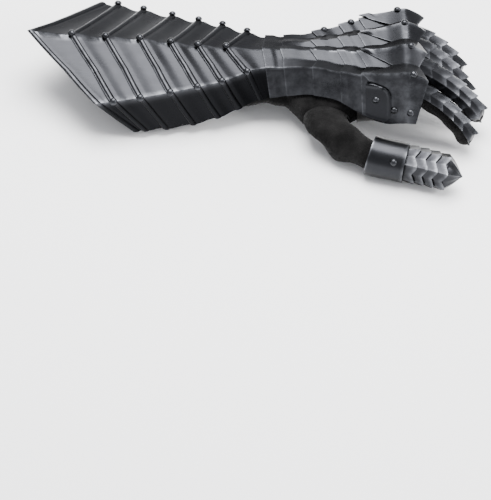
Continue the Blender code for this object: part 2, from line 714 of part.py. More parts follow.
def glove_sections():
    length = CUFF_LENGTH + HAND_LENGTH
    return [(along * length, palm * CORNER_HEIGHT, thenar, room * SIDE_ROOM)
            for along, palm, thenar, room in GLOVE_SECTIONS]


def make_glove_body(kit):
    rings = [glove_ring(*section) for section in glove_sections()]
    vertices = np.array(rings).reshape(-1, 3)
    columns = len(rings[0])
    front = list(range((len(rings) - 1) * columns, len(rings) * columns))
    faces = grid_faces(len(rings), columns, wrap=True) + [front[::-1]]
    item = add_mesh("glove_body", vertices, faces, kit["suede"], kit["group"])
    thicken(item, LEATHER)
    shape = bmesh.new()
    for row in FINGERS:
        made = bmesh.ops.create_cone(shape, cap_ends=True, segments=FINGER_SIDES, radius1=FINGER_TUBE - LEATHER,
                                     radius2=FINGER_TUBE - LEATHER, depth=8 * LEATHER)
        fit = Matrix.Translation(finger_path(row)[1][0]) @ Matrix.Rotation(math.pi / 2, 4, "Y")
        bmesh.ops.transform(shape, matrix=fit, verts=made["verts"])
    add_tool("finger_holes", shape, item, "DIFFERENCE", kit["tools"])
    shape = bmesh.new()
    bmesh.ops.create_cone(shape, cap_ends=True, segments=12, radius1=1.0, radius2=1.0, depth=4 * LEATHER)
    wide = THUMB_TUBE - LEATHER
    flat = THUMB_ROOT_FLAT - LEATHER
    root = thumb_root()
    fit = Matrix.Translation(root) @ Matrix.Diagonal((wide, 1.0, flat, 1.0)) @ Matrix.Rotation(math.pi / 2, 4, "X")
    bmesh.ops.transform(shape, matrix=fit, verts=shape.verts)
    add_tool("thumb_hole", shape, item, "DIFFERENCE", kit["tools"])


def make_glove(kit):
    make_glove_body(kit)
    for row in FINGERS:
        make_glove_finger(f"glove_{row[0]}", finger_path(row), FINGER_TUBE, FINGER_TUBE, FINGER_SIDES, 6, kit)
    make_glove_finger("glove_thumb", thumb_path(), THUMB_TUBE, THUMB_ROOT_FLAT, 12, 9, kit)


def band(name, lines, x, kit):
    """A strap: the inner line of each of its edges in its cross plane, thickened outward."""
    edges = []
    for line, place in zip(lines, (x - STRAP_WIDTH / 2, x + STRAP_WIDTH / 2)):
        line = np.array(line)
        out_y, out_z = outward(line[::-1, 0], line[::-1, 1])
        out = np.stack([out_y[::-1], out_z[::-1]], axis=-1)
        for level in (0.0, STRAP_THICKNESS):
            edges.append(np.column_stack([np.full(len(line), place), line + out * level]))
    rings = np.stack([edges[0], edges[2], edges[3], edges[1]], axis=1)
    count = len(rings)
    faces = grid_faces(count, 4, wrap=True)
    faces += [(0, 1, 2, 3), (4 * count - 1, 4 * count - 2, 4 * count - 3, 4 * count - 4)]
    item = add_mesh(name, rings.reshape(-1, 3), faces, kit["leather"], kit["group"])
    shape = bmesh.new()
    shape.from_mesh(item.data)
    bmesh.ops.recalc_face_normals(shape, faces=shape.faces)
    shape.to_mesh(item.data)
    shape.free()
    return item


def strap_edges(x):
    return x - STRAP_WIDTH / 2, x + STRAP_WIDTH / 2


def glove_line(x):
    """Sides and palm of the glove at x, as its mesh has them between two of its sections."""
    sections = glove_sections()
    known = [row[0] for row in sections]
    place = int(np.searchsorted(known, x)) - 1
    share = (x - known[place]) / (known[place + 1] - known[place])
    before = np.array(glove_ring(*sections[place]))
    after = np.array(glove_ring(*sections[place + 1]))
    ring = before + share * (after - before)
    return ring[-2:7:-1, 1:]


def make_palm_strap(kit):
    """Strap round the glove's palm, from inside one side tab to inside the other."""
    x = PALM_STRAP_ALONG * (CUFF_LENGTH + HAND_LENGTH)
    lines = []
    for edge in strap_edges(x):
        line = glove_line(edge)
        out_y, out_z = outward(line[::-1, 0], line[::-1, 1])
        lines.append(line + np.stack([out_y[::-1], out_z[::-1]], axis=-1) * PALM_STRAP_GAP)
    band("palm_strap", lines, x, kit)


def wall_inside(x, height_above, sign):
    """A point on the inner face of the cuff's side wall, some way above its free edge."""
    across, height = section_points(np.array([x]))
    corner, free = (FAR_CORNER, FAR_FREE) if sign > 0 else (THUMB_CORNER, THUMB_FREE)
    share = height_above / (height[0, corner] - height[0, free])
    y = across[0, free] + share * (across[0, corner] - across[0, free])
    inset = PLATE + STRAP_GAP + STRAP_THICKNESS
    return y - sign * inset, height[0, free] + height_above


def strap_wall_line(x, sign, level):
    """The strap's stretch along the wall, then its turn towards the open side's middle."""
    top = wall_inside(x, STRAP_RISE, sign)
    low = wall_inside(x, STRAP_TURN, sign)
    return [top, low, (low[0] - sign * 0.35 * STRAP_TURN, level + 0.30 * STRAP_TURN),
            (low[0] - sign * 1.0 * STRAP_TURN, level)]


def make_cuff_straps(kit):
    """Long strap from the thumb-side wall and short one from the other, held by the buckle."""
    x = CUFF_STRAP_ALONG * CUFF_LENGTH
    level = CUFF_STRAP_HEIGHT
    lower = level - STRAP_THICKNESS - STRAP_GAP
    tail = BUCKLE_ACROSS + STRAP_TAIL
    long_lines, short_lines = [], []
    for edge in strap_edges(x):
        side = strap_wall_line(edge, -1.0, lower)
        long_lines.append(side + [(0.0, lower), (tail, lower)])
        side = strap_wall_line(edge, 1.0, level)
        short_lines.append([(BUCKLE_ACROSS - 0.002, level)] + side[::-1])
    long_strap = band("cuff_strap", long_lines, x, kit)
    band("buckle_strap", short_lines, x, kit)
    shape = bmesh.new()
    for index in range(STRAP_HOLES):
        spot = BUCKLE_ACROSS + (index - 1) * STRAP_HOLE_PITCH
        made = bmesh.ops.create_cone(shape, cap_ends=True, segments=8, radius1=STRAP_HOLE_RADIUS,
                                     radius2=STRAP_HOLE_RADIUS, depth=4 * STRAP_THICKNESS)
        shift = Matrix.Translation((x, spot, lower - STRAP_THICKNESS / 2))
        bmesh.ops.transform(shape, matrix=shift, verts=made["verts"])
    add_tool("strap_holes", shape, long_strap, "DIFFERENCE", kit["tools"])


def wire(name, points, radius, cyclic, kit):
    curve = bpy.data.curves.new(name, "CURVE")
    curve.dimensions = "3D"
    curve.bevel_depth = radius
    curve.bevel_resolution = 2
    curve.use_fill_caps = True
    spline = curve.splines.new("POLY")
    spline.points.add(len(points) - 1)
    for target, point in zip(spline.points, points):
        target.co = (*point, 1.0)
    spline.use_cyclic_u = cyclic
    curve.materials.append(kit["silver"])
    item = bpy.data.objects.new(name, curve)
    kit["group"].objects.link(item)
    return item


def make_buckle(kit):
    """Rounded rectangular frame outside the straps and the prong that rests on it."""
    x = CUFF_STRAP_ALONG * CUFF_LENGTH
    level = CUFF_STRAP_HEIGHT - 2 * (STRAP_THICKNESS + STRAP_GAP) - BUCKLE_WIRE
    half = BUCKLE_WIDTH / 2 - BUCKLE_WIRE
    near = BUCKLE_ACROSS - BUCKLE_LENGTH / 2 + BUCKLE_WIRE
    far = BUCKLE_ACROSS + BUCKLE_LENGTH / 2 - BUCKLE_WIRE
    corner = BUCKLE_CORNER
    outline = [(-half, near + corner), (-half + corner, near), (half - corner, near), (half, near + corner),
               (half, far - corner), (half - corner, far), (-half + corner, far), (-half, far - corner)]
    wire("buckle_frame", [(x + across, y, level) for across, y in outline], BUCKLE_WIRE, True, kit)
    prong = level - 2 * BUCKLE_WIRE - STRAP_GAP
    wire("buckle_prong", [(x, near - BUCKLE_WIRE, prong), (x, far + BUCKLE_WIRE, prong)], BUCKLE_WIRE, False, kit)


def make_disc_rivet(kit):
    """Disc head that holds the long strap's end to the cuff's side wall."""
    x = CUFF_STRAP_ALONG * CUFF_LENGTH
    below = STRAP_RISE - DISC_RADIUS - STRAP_GAP
    low = Vector((x, *wall_inside(x, below - DISC_RADIUS, -1.0)))
    high = Vector((x, *wall_inside(x, below + DISC_RADIUS, -1.0)))
    before = Vector((x - STRAP_WIDTH / 2, *wall_inside(x - STRAP_WIDTH / 2, below, -1.0)))
    after = Vector((x + STRAP_WIDTH / 2, *wall_inside(x + STRAP_WIDTH / 2, below, -1.0)))
    normal = (high - low).cross(after - before).normalized()
    normal = normal if normal.y > 0 else -normal
    shape = bmesh.new()
    bmesh.ops.create_cone(shape, cap_ends=True, segments=16, radius1=DISC_RADIUS, radius2=DISC_RADIUS * 0.85,
                          depth=DISC_THICKNESS)
    turn = normal.to_track_quat("Z", "Y").to_matrix().to_4x4()
    centre = (low + high) / 2 + normal * (STRAP_GAP + DISC_THICKNESS / 2)
    bmesh.ops.transform(shape, matrix=Matrix.Translation(centre) @ turn, verts=shape.verts)
    mesh = bpy.data.meshes.new("strap_rivet")
    shape.to_mesh(mesh)
    shape.free()
    item = bpy.data.objects.new("strap_rivet", mesh)
    item.data.materials.append(kit["silver"])
    kit["group"].objects.link(item)


def world_points(items):
    graph = bpy.context.evaluated_depsgraph_get()
    clouds = []
    for item in items:
        shown = item.evaluated_get(graph)
        mesh = shown.to_mesh()
        cloud = np.empty(len(mesh.vertices) * 3)
        mesh.vertices.foreach_get("co", cloud)
        clouds.append(cloud.reshape(-1, 3))
        shown.to_mesh_clear()
    return np.concatenate(clouds)


def lay_down(group):
    """Turns the gauntlet about y until cuff and fingers touch the ground, then centres it."""
    bpy.context.view_layer.update()
    points = world_points(group.objects)
    behind = points[:, 0] < CUFF_LENGTH
    low, high = 0.0, math.radians(20.0)
    for _ in range(40):
        angle = (low + high) / 2
        height = points[:, 2] * math.cos(angle) + points[:, 0] * math.sin(angle)
        if height[behind].min() > height[~behind].min():
            low = angle
        else:
            high = angle
    turn = Matrix.Rotation(-angle, 4, "Y")
    turned = points @ np.array(turn.to_3x3()).T
    centre = (turned.max(axis=0) + turned.min(axis=0)) / 2
    shift = Matrix.Translation((-centre[0], -centre[1], -turned[:, 2].min()))
    lying = bpy.data.objects.new("lying", None)
    bpy.context.scene.collection.objects.link(lying)
    lying.matrix_world = shift @ turn
    for item in list(bpy.data.objects):
        if item is not lying:
            item.parent = lying
    bpy.context.view_layer.update()


def main():
    clear_scene()
    materials = make_materials()
    kit = {
        "group": make_collection("armoured_gauntlet"),
        "tools": make_collection("cutters"),
        "steel": materials["blackened_steel"],
        "suede": materials["suede"],
        "leather": materials["strap_leather"],
        "silver": materials["silver"],
    }
    make_cuff(kit)
    make_hand(kit)
    make_knuckle_plate(kit)
    make_finger_scales(kit)
    make_thumb_steel(kit)
    make_glove(kit)
    make_palm_strap(kit)
    make_cuff_straps(kit)
    make_buckle(kit)
    make_disc_rivet(kit)
    lay_down(kit["group"])


main()
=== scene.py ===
"""Armoured gauntlet for a left hand, dressed over its CAD frame.

Every piece is worked out in the hand frame, in metres: x runs along the keel from the elbow tip
towards the fingers, z rises from the palm and the thumb is on the -y side. A last turn lays the
finished points down as the gauntlet lies, so each object stays at the origin.
"""
import math

import bmesh
import bpy
import numpy as np
from bpy.props import FloatProperty, FloatVectorProperty, IntProperty, PointerProperty
from mathutils import Matrix


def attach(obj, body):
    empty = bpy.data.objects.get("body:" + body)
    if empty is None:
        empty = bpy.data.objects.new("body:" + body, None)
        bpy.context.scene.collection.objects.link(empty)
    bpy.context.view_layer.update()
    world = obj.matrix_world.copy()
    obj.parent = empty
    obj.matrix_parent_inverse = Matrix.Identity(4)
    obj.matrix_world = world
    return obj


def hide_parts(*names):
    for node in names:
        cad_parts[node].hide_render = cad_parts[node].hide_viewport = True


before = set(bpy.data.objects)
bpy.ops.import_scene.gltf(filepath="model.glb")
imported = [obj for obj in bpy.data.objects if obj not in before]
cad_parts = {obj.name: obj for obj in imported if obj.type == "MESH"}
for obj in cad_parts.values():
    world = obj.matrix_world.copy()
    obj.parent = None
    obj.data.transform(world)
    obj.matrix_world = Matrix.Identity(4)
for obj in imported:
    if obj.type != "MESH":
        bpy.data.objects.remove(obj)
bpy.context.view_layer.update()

bl_info = {
    "name": "Armoured Gauntlet",
    "version": (1, 0, 0),
    "blender": (4, 5, 0),
    "location": "3D Viewport > Sidebar > Gauntlet",
    "description": "Builds a blackened plate gauntlet on a suede glove",
    "category": "Add Mesh",
}

# How the hand frame lies on the ground: turn about y in degrees, then a shift
LYING_TURN = 6.06113
LYING_SHIFT = (-0.197075, 0.020868, -0.035835)

# Steel: the same named sizes as the solids
CUFF_LENGTH = 0.206
HAND_LENGTH = 0.130
ELBOW_HALF = 0.068
WRIST_HALF = 0.0215
KNUCKLE_HALF = 0.0415
CORNER_HEIGHT = 0.069
KEEL_RISE = 0.024
WALL_HEIGHT = 0.037
WALL_SPLAY = 0.013
KNUCKLE_HEIGHT = 0.080
KNUCKLE_CROWN = 0.0075
FLUTE_DEPTH = 0.006
SIDE_HEIGHT = 0.042
SIDE_SPLAY = 0.016
PLATE = 0.0009
LAME_GAP = 0.0004
LAP_LEVEL = PLATE + LAME_GAP
KNUCKLE_LEVEL = LAP_LEVEL + 0.0009
LAP_LENGTH = 0.006
RAMP_LENGTH = 0.0025
END_CLEARANCE = 0.0012
CUFF_SECTIONS = (
    # along, flare, corner, keel, splay, drop, thumb_drop
    (0.000, 1.200, 1.020, 1.00, 0.30, 0.95, 0.95),
    (0.290, 0.994, 1.000, 0.75, 0.30, 0.95, 0.95),
    (0.475, 0.796, 0.978, 0.70, 0.30, 0.95, 0.95),
    (0.695, 0.512, 0.971, 0.43, 0.50, 1.00, 1.00),
    (0.825, 0.335, 0.978, 0.31, 0.65, 0.95, 0.90),
    (1.000, 0.000, 1.007, 0.15, 0.85, 0.80, 0.72),
)
HAND_SECTIONS = (
    # along, spread, middle, ring, corner, crown_middle, crown_ring, flute, splay, drop, thumb_drop
    (0.123, -0.02, -0.00, 0.50, 0.04, 0.45, 0.25, 0.05, 0.66, 0.68, 0.58),
    (0.338, 0.10, -0.09, 0.40, 0.27, 0.25, 0.27, 0.30, 0.66, 0.74, 0.54),
    (0.530, 0.50, -0.19, 0.37, 0.41, 0.33, 0.33, 0.55, 0.72, 0.84, 0.58),
    (0.670, 0.775, -0.27, 0.35, 0.59, 0.40, 0.47, 0.80, 0.85, 0.94, 0.80),
    (0.840, 0.925, -0.31, 0.35, 0.82, 0.67, 0.80, 1.00, 1.00, 1.00, 1.00),
    (0.985, 1.000, -0.32, 0.36, 1.00, 0.95, 1.07, 1.00, 1.00, 1.00, 1.00),
    (1.077, 1.010, -0.33, 0.35, 0.55, 0.93, 1.05, 0.90, 1.00, 0.92, 0.92),
    (1.154, 1.000, -0.33, 0.35, -0.27, 0.90, 1.00, 0.80, 0.95, 0.72, 0.72),
)
EDGES = (
    # along the cuff or the hand, keel, corner, free, valley, side
    ("cuff", 0.000, 0.291, 0.160, 0.0, 0.0),
    ("cuff", 0.177, 0.184, 0.131, 0.0, 0.0),
    ("cuff", 0.320, 0.153, 0.107, 0.0, 0.0),
    ("cuff", 0.466, 0.133, 0.097, 0.0, 0.0),
    ("cuff", 0.597, 0.117, 0.087, 0.0, 0.0),
    ("cuff", 0.714, 0.104, 0.073, 0.0, 0.0),
    ("cuff", 0.835, 0.090, 0.058, 0.0, 0.0),
    ("cuff", 1.000, 0.015, 0.019, 0.0, 0.0),
    ("hand", 0.123, 0.023, 0.023, 0.008, 0.0),
    ("hand", 0.323, 0.015, 0.015, 0.046, 0.0),
    ("hand", 0.508, 0.015, 0.015, 0.046, 0.0),
    ("hand", 0.640, 0.023, 0.015, 0.054, 0.0),
    ("hand", 0.900, 0.000, 0.000, 0.000, 0.0),
)
TONGUE_EDGE = ("hand", 0.665, 0.000, 0.160, 0.215, 0.090)
KNUCKLE_LIP = ("hand", 1.120, 0.000, -0.080, -0.060, 0.0)
CORNER_SHARE = np.array([1.0, 1.0, 1.0, 0.55, 0.0, 0.30, 0.55, 0.78, 1.0, 1.0, 1.0])
FREE_SHARE = np.array([1.0, 0.5, 0, 0, 0, 0, 0, 0, 0, 0.5, 1.0])
VALLEY_SHARE = np.array([0, 0, 0, 1.0, 0, 1.0, 0, 1.0, 0, 0, 0])
SIDE_SHARE = np.array([0, 1.0, 0, 0, 0, 0, 0, 0, 0, 1.0, 0])
THUMB_FREE, THUMB_CORNER, KEEL, RING_RIDGE, FAR_CORNER, FAR_FREE = 0, 2, 4, 6, 8, 10
LAST_COLUMN = FAR_FREE
SIDES = ((THUMB_CORNER, THUMB_FREE), (FAR_CORNER, FAR_FREE))
WRIST_EDGE = 7
LAST_HAND_EDGE = 11
CREST_SECTION = 5
KNUCKLE_RIVETS = ((THUMB_CORNER, 1.015), (KEEL, 1.005), (RING_RIDGE, 0.970), (FAR_CORNER, 0.930))
TAB_RIVETS = ((0.890, 0.72), (1.000, 0.78))
TAB_ROOT = 0.52
TAB_SPAN = (0.70, 0.865)
TAB_BAND = (0.22, 0.97)
TAB_THICKNESS = 0.0011
TAB_ROUNDING = 0.50
TAB_RIM = 0.0005

# Small forms of the steel
BEAD_ROWS = (0.0066, 0.0071, 0.0095)  # ends of the fine rows over a bead, then of the wider ones
BEAD_INSET = 0.0005
BEAD_RIVET = (0.0025, 0.0011)  # set back from the edge, height over the lap
HOLLOW_START = 0.009
HAND_RIVET = 0.0031
RIVET_SINK = 0.0006
STACK_RAMP = 0.004
CREST_RISE = 0.0009
CREST_WIDTH = 0.0060
THUMB_ROLLED = (0.0005, 0.0018)  # height and width of the rolled front
THUMB_RIVET = 0.22

# Wear and painted light: widths of the rubbed edges, rivets' share, the painted shade that darkens the cuff's
# side walls and the painted light that lightens the hand's side walls
EDGE_WEAR = 0.0007
KNUCKLE_WEAR = 0.0008
THUMB_WEAR = 0.0012
RIVET_WEAR = 0.35
# Painted shade: how far the cuff lames' side walls are darkened, given as negative wear values
SIDE_PAINTED_SHADE = 0.75
# Painted light: how far the side walls of the hand lames, the tabs and the knuckle plate are lightened
SIDE_PAINTED_LIGHT = 0.20

# Angles in degrees past which an edge is shaded crisp
PLATE_SHARP = 32.0
SCALE_SHARP = 20.0
STRAP_SHARP = 40.0
SOFT_SHARP = 60.0

# Fingers and thumb
FINGER_HALF = 0.0114
FINGER_RIDGE = 0.0126
FINGER_TUBE = 0.0092
FINGER_TAPER = 0.16
SCALE_PLATE = 0.0010
SCALE_LEVEL = 0.0015
SCALE_LAP = 0.0035
TOOTH = 0.0035
FIRST_SCALE = 0.008
TIP_COVER = 0.0045
TIP_BLUNT = 0.05
FINGER_ROOT_GAP = 0.0009
FINGER_SOCKET = 0.004
FINGER_FOLDS = (0.0042, 0.0091)  # wave lengths over 2 pi: inner side, all round
FINGER_SEAM = 0.0004
FINGER_WRINKLE = 0.0006
GLOVE_FRONT = 0.971 * (CUFF_LENGTH + HAND_LENGTH)
FINGERS = (
    # name, across, height, reach, first pitch, last pitch, yaw, scales
    ("index", -0.860, 0.775, 0.089, 18.0, 68.0, -10.0, 6),
    ("middle", -0.300, 0.878, 0.100, 19.0, 62.0, -6.5, 6),
    ("ring", 0.312, 0.881, 0.093, 22.0, 70.0, -4.0, 6),
    ("little", 0.850, 0.792, 0.080, 18.0, 68.0, -0.5, 5),
)
SCALE_PROFILE = np.array((
    # across, height, tooth
    (-1.00, -0.15, 0.2),
    (-0.86, 0.42, 1.0),
    (-0.46, 0.74, 0.0),
    (0.00, 1.00, 1.2),
    (0.46, 0.74, 0.0),
    (0.86, 0.42, 1.0),
    (1.00, -0.15, 0.2),
))
THUMB_HALF = 0.0174
THUMB_RIDGE = 0.0180
THUMB_TUBE = 0.0135
THUMB_LEVEL = 0.0020
THUMB_ROLL = 52.0
THUMB_WRAP = 100.0
THUMB_REACH = 0.1125
THUMB_TIP_COVER = 0.010
THUMB_SPAN = (0.44, 0.66)
THUMB_SCALES = 5
THUMB_WRINKLE = 0.0016
THUMB_SWELL = 0.34
THUMB_ROUTE = np.array((
    # forward, outward, down
    (0.000, 0.000, 0.000),
    (0.000, 0.050, 0.000),
    (0.055, 0.145, 0.030),
    (0.185, 0.255, 0.075),
    (0.360, 0.325, 0.110),
    (0.560, 0.372, 0.130),
    (0.790, 0.425, 0.150),
    (0.960, 0.470, 0.168),
))
THUMB_ROOT = (CUFF_LENGTH + 0.440 * HAND_LENGTH, -0.0445, 0.0325)
THUMB_ROOT_FLAT = 0.0088

# Glove and straps
LEATHER = 0.0014
LINING_GAP = 0.0015
SIDE_ROOM = 0.0050
THENAR = (0.0440, 0.0415, 0.0235, 0.0015)  # out, top, bottom, drop of the thumb's mound
STRAP_WIDTH = 0.015
STRAP_THICKNESS = 0.0025
STRAP_GAP = 0.0004
STRAP_ROUNDING = 0.28
STRAP_HOLE_RADIUS = 0.0019
STRAP_HOLE_PITCH = 0.012
PALM_STRAP_ALONG = 0.885
PALM_STRAP_GAP = 0.0006
PALM_STRAP_BEND = 0.004
PALM_ROLL = 0.010
WHOLE = CUFF_LENGTH + HAND_LENGTH
GLOVE_SECTIONS = np.array((
    # along, palm, thenar, room
    (0.285, 0.600, 0.0, 1.00),
    (0.370, 0.560, 0.0, 1.00),
    (0.460, 0.500, 0.0, 0.60),
    (0.550, 0.440, 0.0, 0.40),
    (0.625, 0.400, 0.0, 0.35),
    (0.678, 0.360, 0.0, 0.35),
    (0.722, 0.310, 1.0, 0.35),
    (0.785, 0.305, 1.0, 0.35),
    (0.834, 0.320, 1.0, 0.40),
    (PALM_STRAP_ALONG - STRAP_WIDTH / 2 / WHOLE, 0.345, 0.3, 0.80),
    (PALM_STRAP_ALONG + STRAP_WIDTH / 2 / WHOLE, 0.400, 0.15, 0.90),
    (0.945, 0.520, 0.0, 0.60),
    (0.971, 0.620, 0.0, 0.50),
))
PALM_STRAP_ROWS = slice(9, 11)
PALM_POINTS = slice(-2, 7, -1)
GLOVE_SIDES = 120
GLOVE_FOLDS = (0.0046, 0.0079)  # wave lengths over 2 pi
FOLDS_BELOW = 0.055
FOLD_RISE = 0.0002
GLOVE_HEM = (0.0004, 0.007, 0.0012)  # height, width, fall
PALM_SEAM = (0.0007, 0.0009)  # height, width
SEAM_COLUMNS = (54, 93)
HEM_ROW = 5
SEAM_ROWS = slice(6, -3)
HEM_STITCH = (0.0042, 0.0015, 0.0004)  # gap, half length, radius
SEAM_STITCH = (0.0036, 0.0012, 0.00035)
CUFF_STRAP_X = 0.500 * CUFF_LENGTH
CUFF_STRAP_HEIGHT = 0.0365
STRAP_RISE = 0.026
STRAP_TURN = 0.010
STRAP_TAIL = 0.034
CUFF_STRAP_BEND = 0.005
SHORT_STRAP_PAST = 0.002
BUCKLE_ACROSS = 0.012
BUCKLE_SIZE = (0.026, 0.022)
BUCKLE_WIRE = 0.0013
BUCKLE_CORNER = 0.0035
DISC_RADIUS = 0.005
DISC_THICKNESS = 0.0014
DISC_PROFILE = (
    # radius, height
    (0.0, 0.0), (0.0048, 0.0), (DISC_RADIUS, 0.0003), (DISC_RADIUS, 0.0008), (0.0046, 0.0012),
    (0.0036, 0.0013), (0.0033, 0.0010), (0.0030, 0.0012), (0.0016, 0.0014), (0.0, DISC_THICKNESS),
)

# Depth of the bumps in the finishes
METAL_RELIEF = 0.0004
LEATHER_RELIEF = 0.0016


# Shapes as grids

def run_length(line):
    """Length run along a line at each of its points."""
    return np.concatenate([[0.0], np.cumsum(np.linalg.norm(np.diff(line, axis=0), axis=1))])


def read_rows(place, known, rows):
    """Rows of values read straight between their known places."""
    return np.stack([np.interp(place, known, rows[:, i]) for i in range(rows.shape[1])], axis=-1)


def unit(vectors):
    """Vectors brought to length 1."""
    return vectors / np.linalg.norm(vectors, axis=-1, keepdims=True)


def bell(distance, width):
    """Bell curve exp(-(distance / width)^2)."""
    return np.exp(-(distance / width) ** 2)


def full_turn(sides):
    """Angles of the corners of a ring."""
    return np.arange(sides) / sides * 2 * math.pi


def smooth(value, known, heights):
    """Cubic Hermite curve through (known, heights): each span blends its two ends and their
    central slopes."""
    known = np.asarray(known, float)
    heights = np.asarray(heights, float)
    slopes = np.gradient(heights, known)
    value = np.clip(value, known[0], known[-1])
    place = np.clip(np.searchsorted(known, value, side="right") - 1, 0, len(known) - 2)
    span = known[place + 1] - known[place]
    share = (value - known[place]) / span
    start = (2 * share**3 - 3 * share**2 + 1) * heights[place]
    end = (-2 * share**3 + 3 * share**2) * heights[place + 1]
    rise = (share**3 - 2 * share**2 + share) * span * slopes[place]
    fall = (share**3 - share**2) * span * slopes[place + 1]
    return start + end + rise + fall


def step(value):
    """0 below 0, 1 above 1 and an S curve of 3t^2 - 2t^3 between."""
    value = np.clip(value, 0.0, 1.0)
    return value * value * (3.0 - 2.0 * value)


def steel_rows():
    """Real sizes of every section: x, half, middle, ring, corner, crowns, flute, splay, drops."""
    rows = []
    for along, flare, corner, keel, splay, drop, thumb_drop in CUFF_SECTIONS:
        half = WRIST_HALF + flare * (ELBOW_HALF - WRIST_HALF)
        rise = keel * KEEL_RISE
        rows.append((along * CUFF_LENGTH, half, 0.0, half / 2, corner * CORNER_HEIGHT, rise, rise / 2,
                     0.0, splay * WALL_SPLAY, drop * WALL_HEIGHT, thumb_drop * WALL_HEIGHT))
    for row in HAND_SECTIONS:
        along, spread, middle, ring, corner, crown, crown_ring, flute, splay, drop, thumb_drop = row
        half = WRIST_HALF + spread * (KNUCKLE_HALF - WRIST_HALF)
        height = CORNER_HEIGHT + corner * (KNUCKLE_HEIGHT - CORNER_HEIGHT)
        rows.append((CUFF_LENGTH + along * HAND_LENGTH, half, middle * half, ring * half, height,
                     crown * KNUCKLE_CROWN, crown_ring * KNUCKLE_CROWN, flute * FLUTE_DEPTH,
                     splay * SIDE_SPLAY, drop * SIDE_HEIGHT, thumb_drop * SIDE_HEIGHT))
    return np.array(rows).T


STEEL_ROWS = steel_rows()


def section(x):
    """The eleven points (y, z) of the steel's outer line at each x, from free edge to free edge:
    ridges on the smoothed crest heights, valleys half way between them less the flute."""
    half, middle, ring, corner, crown, crown_ring, flute, splay, drop, thumb_drop = (
        smooth(x, STEEL_ROWS[0], row) for row in STEEL_ROWS[1:])
    keel = corner + crown
    ring_top = corner + crown_ring
    across = np.stack([-half - splay, -half - splay / 2, -half, (middle - half) / 2, middle,
                       (middle + ring) / 2, ring, (ring + half) / 2, half, half + splay / 2,
                       half + splay], axis=-1)
    height = np.stack([corner - thumb_drop, corner - thumb_drop / 2, corner,
                       (corner + keel) / 2 - flute, keel, (keel + ring_top) / 2 - flute, ring_top,
                       (ring_top + corner) / 2 - flute, corner, corner - drop / 2,
                       corner - drop], axis=-1)
    return across, height


def outward(across, height):
    """Mitred outward direction at each point of a line that runs towards +y over the top: the sum
    of the two neighbouring normals, stretched so that both faces move by the same amount."""
    step_y = np.diff(across, axis=-1)
    step_z = np.diff(height, axis=-1)
    normals = np.stack([-step_z, step_y]) / np.hypot(step_y, step_z)
    before = np.concatenate([normals[..., :1], normals], axis=-1)
    after = np.concatenate([normals, normals[..., -1:]], axis=-1)
    return (before + after) / (1.0 + (before * after).sum(axis=0))


def off_line(line):
    """The same directions for points (y, z) of a line that runs towards -y over the top."""
    return outward(line[::-1, 0], line[::-1, 1])[:, ::-1].T


def steel_surface(x, level, column):
    """Points of the steel at x and a fractional column, moved out by level: the two neighbouring
    section points and their mitred directions are blended by the column's fraction."""
    column = np.broadcast_to(column, x.shape)
    across, height = section(x)
    low = np.clip(np.floor(column).astype(int), 0, LAST_COLUMN - 1)
    share = column - low
    row, place = np.indices(x.shape)
    y, z, out_y, out_z = (value[row, place, low] * (1 - share) + value[row, place, low + 1] * share
                          for value in (across, height, *outward(across, height)))
    return np.stack([x, y + out_y * level, z + out_z * level], axis=-1)


def edge_line(row, column):
    """x of a lame's edge at each column: the keel's place plus the sweeps, straight between columns."""
    part, keel, corner, free, valley, side = row
    sweep = corner * CORNER_SHARE + free * FREE_SHARE + valley * VALLEY_SHARE + side * SIDE_SHARE
    start, length = (0.0, CUFF_LENGTH) if part == "cuff" else (CUFF_LENGTH, HAND_LENGTH)
    return start + length * (keel + np.interp(column, np.arange(LAST_COLUMN + 1), sweep))


def fine_columns(count):
    """Column numbers with count steps between neighbouring columns, so each ridge keeps a line."""
    return np.linspace(0.0, LAST_COLUMN, LAST_COLUMN * count + 1)


def grid_faces(rows, columns, offset=0, wrap=False, flip=False):
    """Quads of a grid of rows by columns, wrapped round the columns where wrap is set."""
    last = columns if wrap else columns - 1
    row, column = np.meshgrid(np.arange(rows - 1), np.arange(last), indexing="ij")
    here, after = row * columns + column, row * columns + (column + 1) % columns
    faces = np.stack([here, here + columns, after + columns, after], axis=-1).reshape(-1, 4) + offset
    return faces[:, ::-1] if flip else faces


def fan(start, sides, pole):
    """Triangles between a ring of vertices, which begins at number start, and a pole."""
    ring = start + np.arange(sides)
    return np.stack([ring, np.roll(ring, -1), np.full(sides, pole)], axis=-1).tolist()


def capped(rings, first, last):
    """Closed tube: quads from ring to ring, and a fan to a pole at each end."""
    count, sides = rings.shape[:2]
    size = count * sides
    verts = np.concatenate([rings.reshape(-1, 3), [first], [last]])
    faces = grid_faces(count, sides, wrap=True).tolist()
    faces += fan(0, sides, size) + fan(size - sides, sides, size + 1)
    return verts, faces, np.zeros(len(verts))


def grid_normals(points):
    """Unit normals of a grid: cross product of its differences along rows and along columns."""
    along = np.gradient(points, axis=0)
    across = np.gradient(points, axis=1)
    normal = np.cross(along, across)
    return normal / np.maximum(np.linalg.norm(normal, axis=-1, keepdims=True), 1e-12)


def shell(points, thickness, wear=None):
    """Closed plate from an outer grid: the inner grid lies a thickness under it along the normals,
    and strips join their four borders."""
    rows, columns = points.shape[:2]
    inner = points - grid_normals(points) * thickness
    size = rows * columns
    index = np.arange(size).reshape(rows, columns)
    border = np.concatenate([index[:, 0], index[-1, 1:], index[-2::-1, -1], index[0, -2:0:-1]])
    after = np.roll(border, -1)
    rim = np.stack([border, after, after + size, border + size], axis=-1)
    faces = np.concatenate([grid_faces(rows, columns), grid_faces(rows, columns, size, flip=True),
                            rim[:, ::-1]])
    verts = np.concatenate([points.reshape(-1, 3), inner.reshape(-1, 3)])
    worn_and_painted_light = np.zeros(size) if wear is None else wear.reshape(-1)
    return verts, faces.tolist(), np.concatenate([worn_and_painted_light, np.zeros(size)])


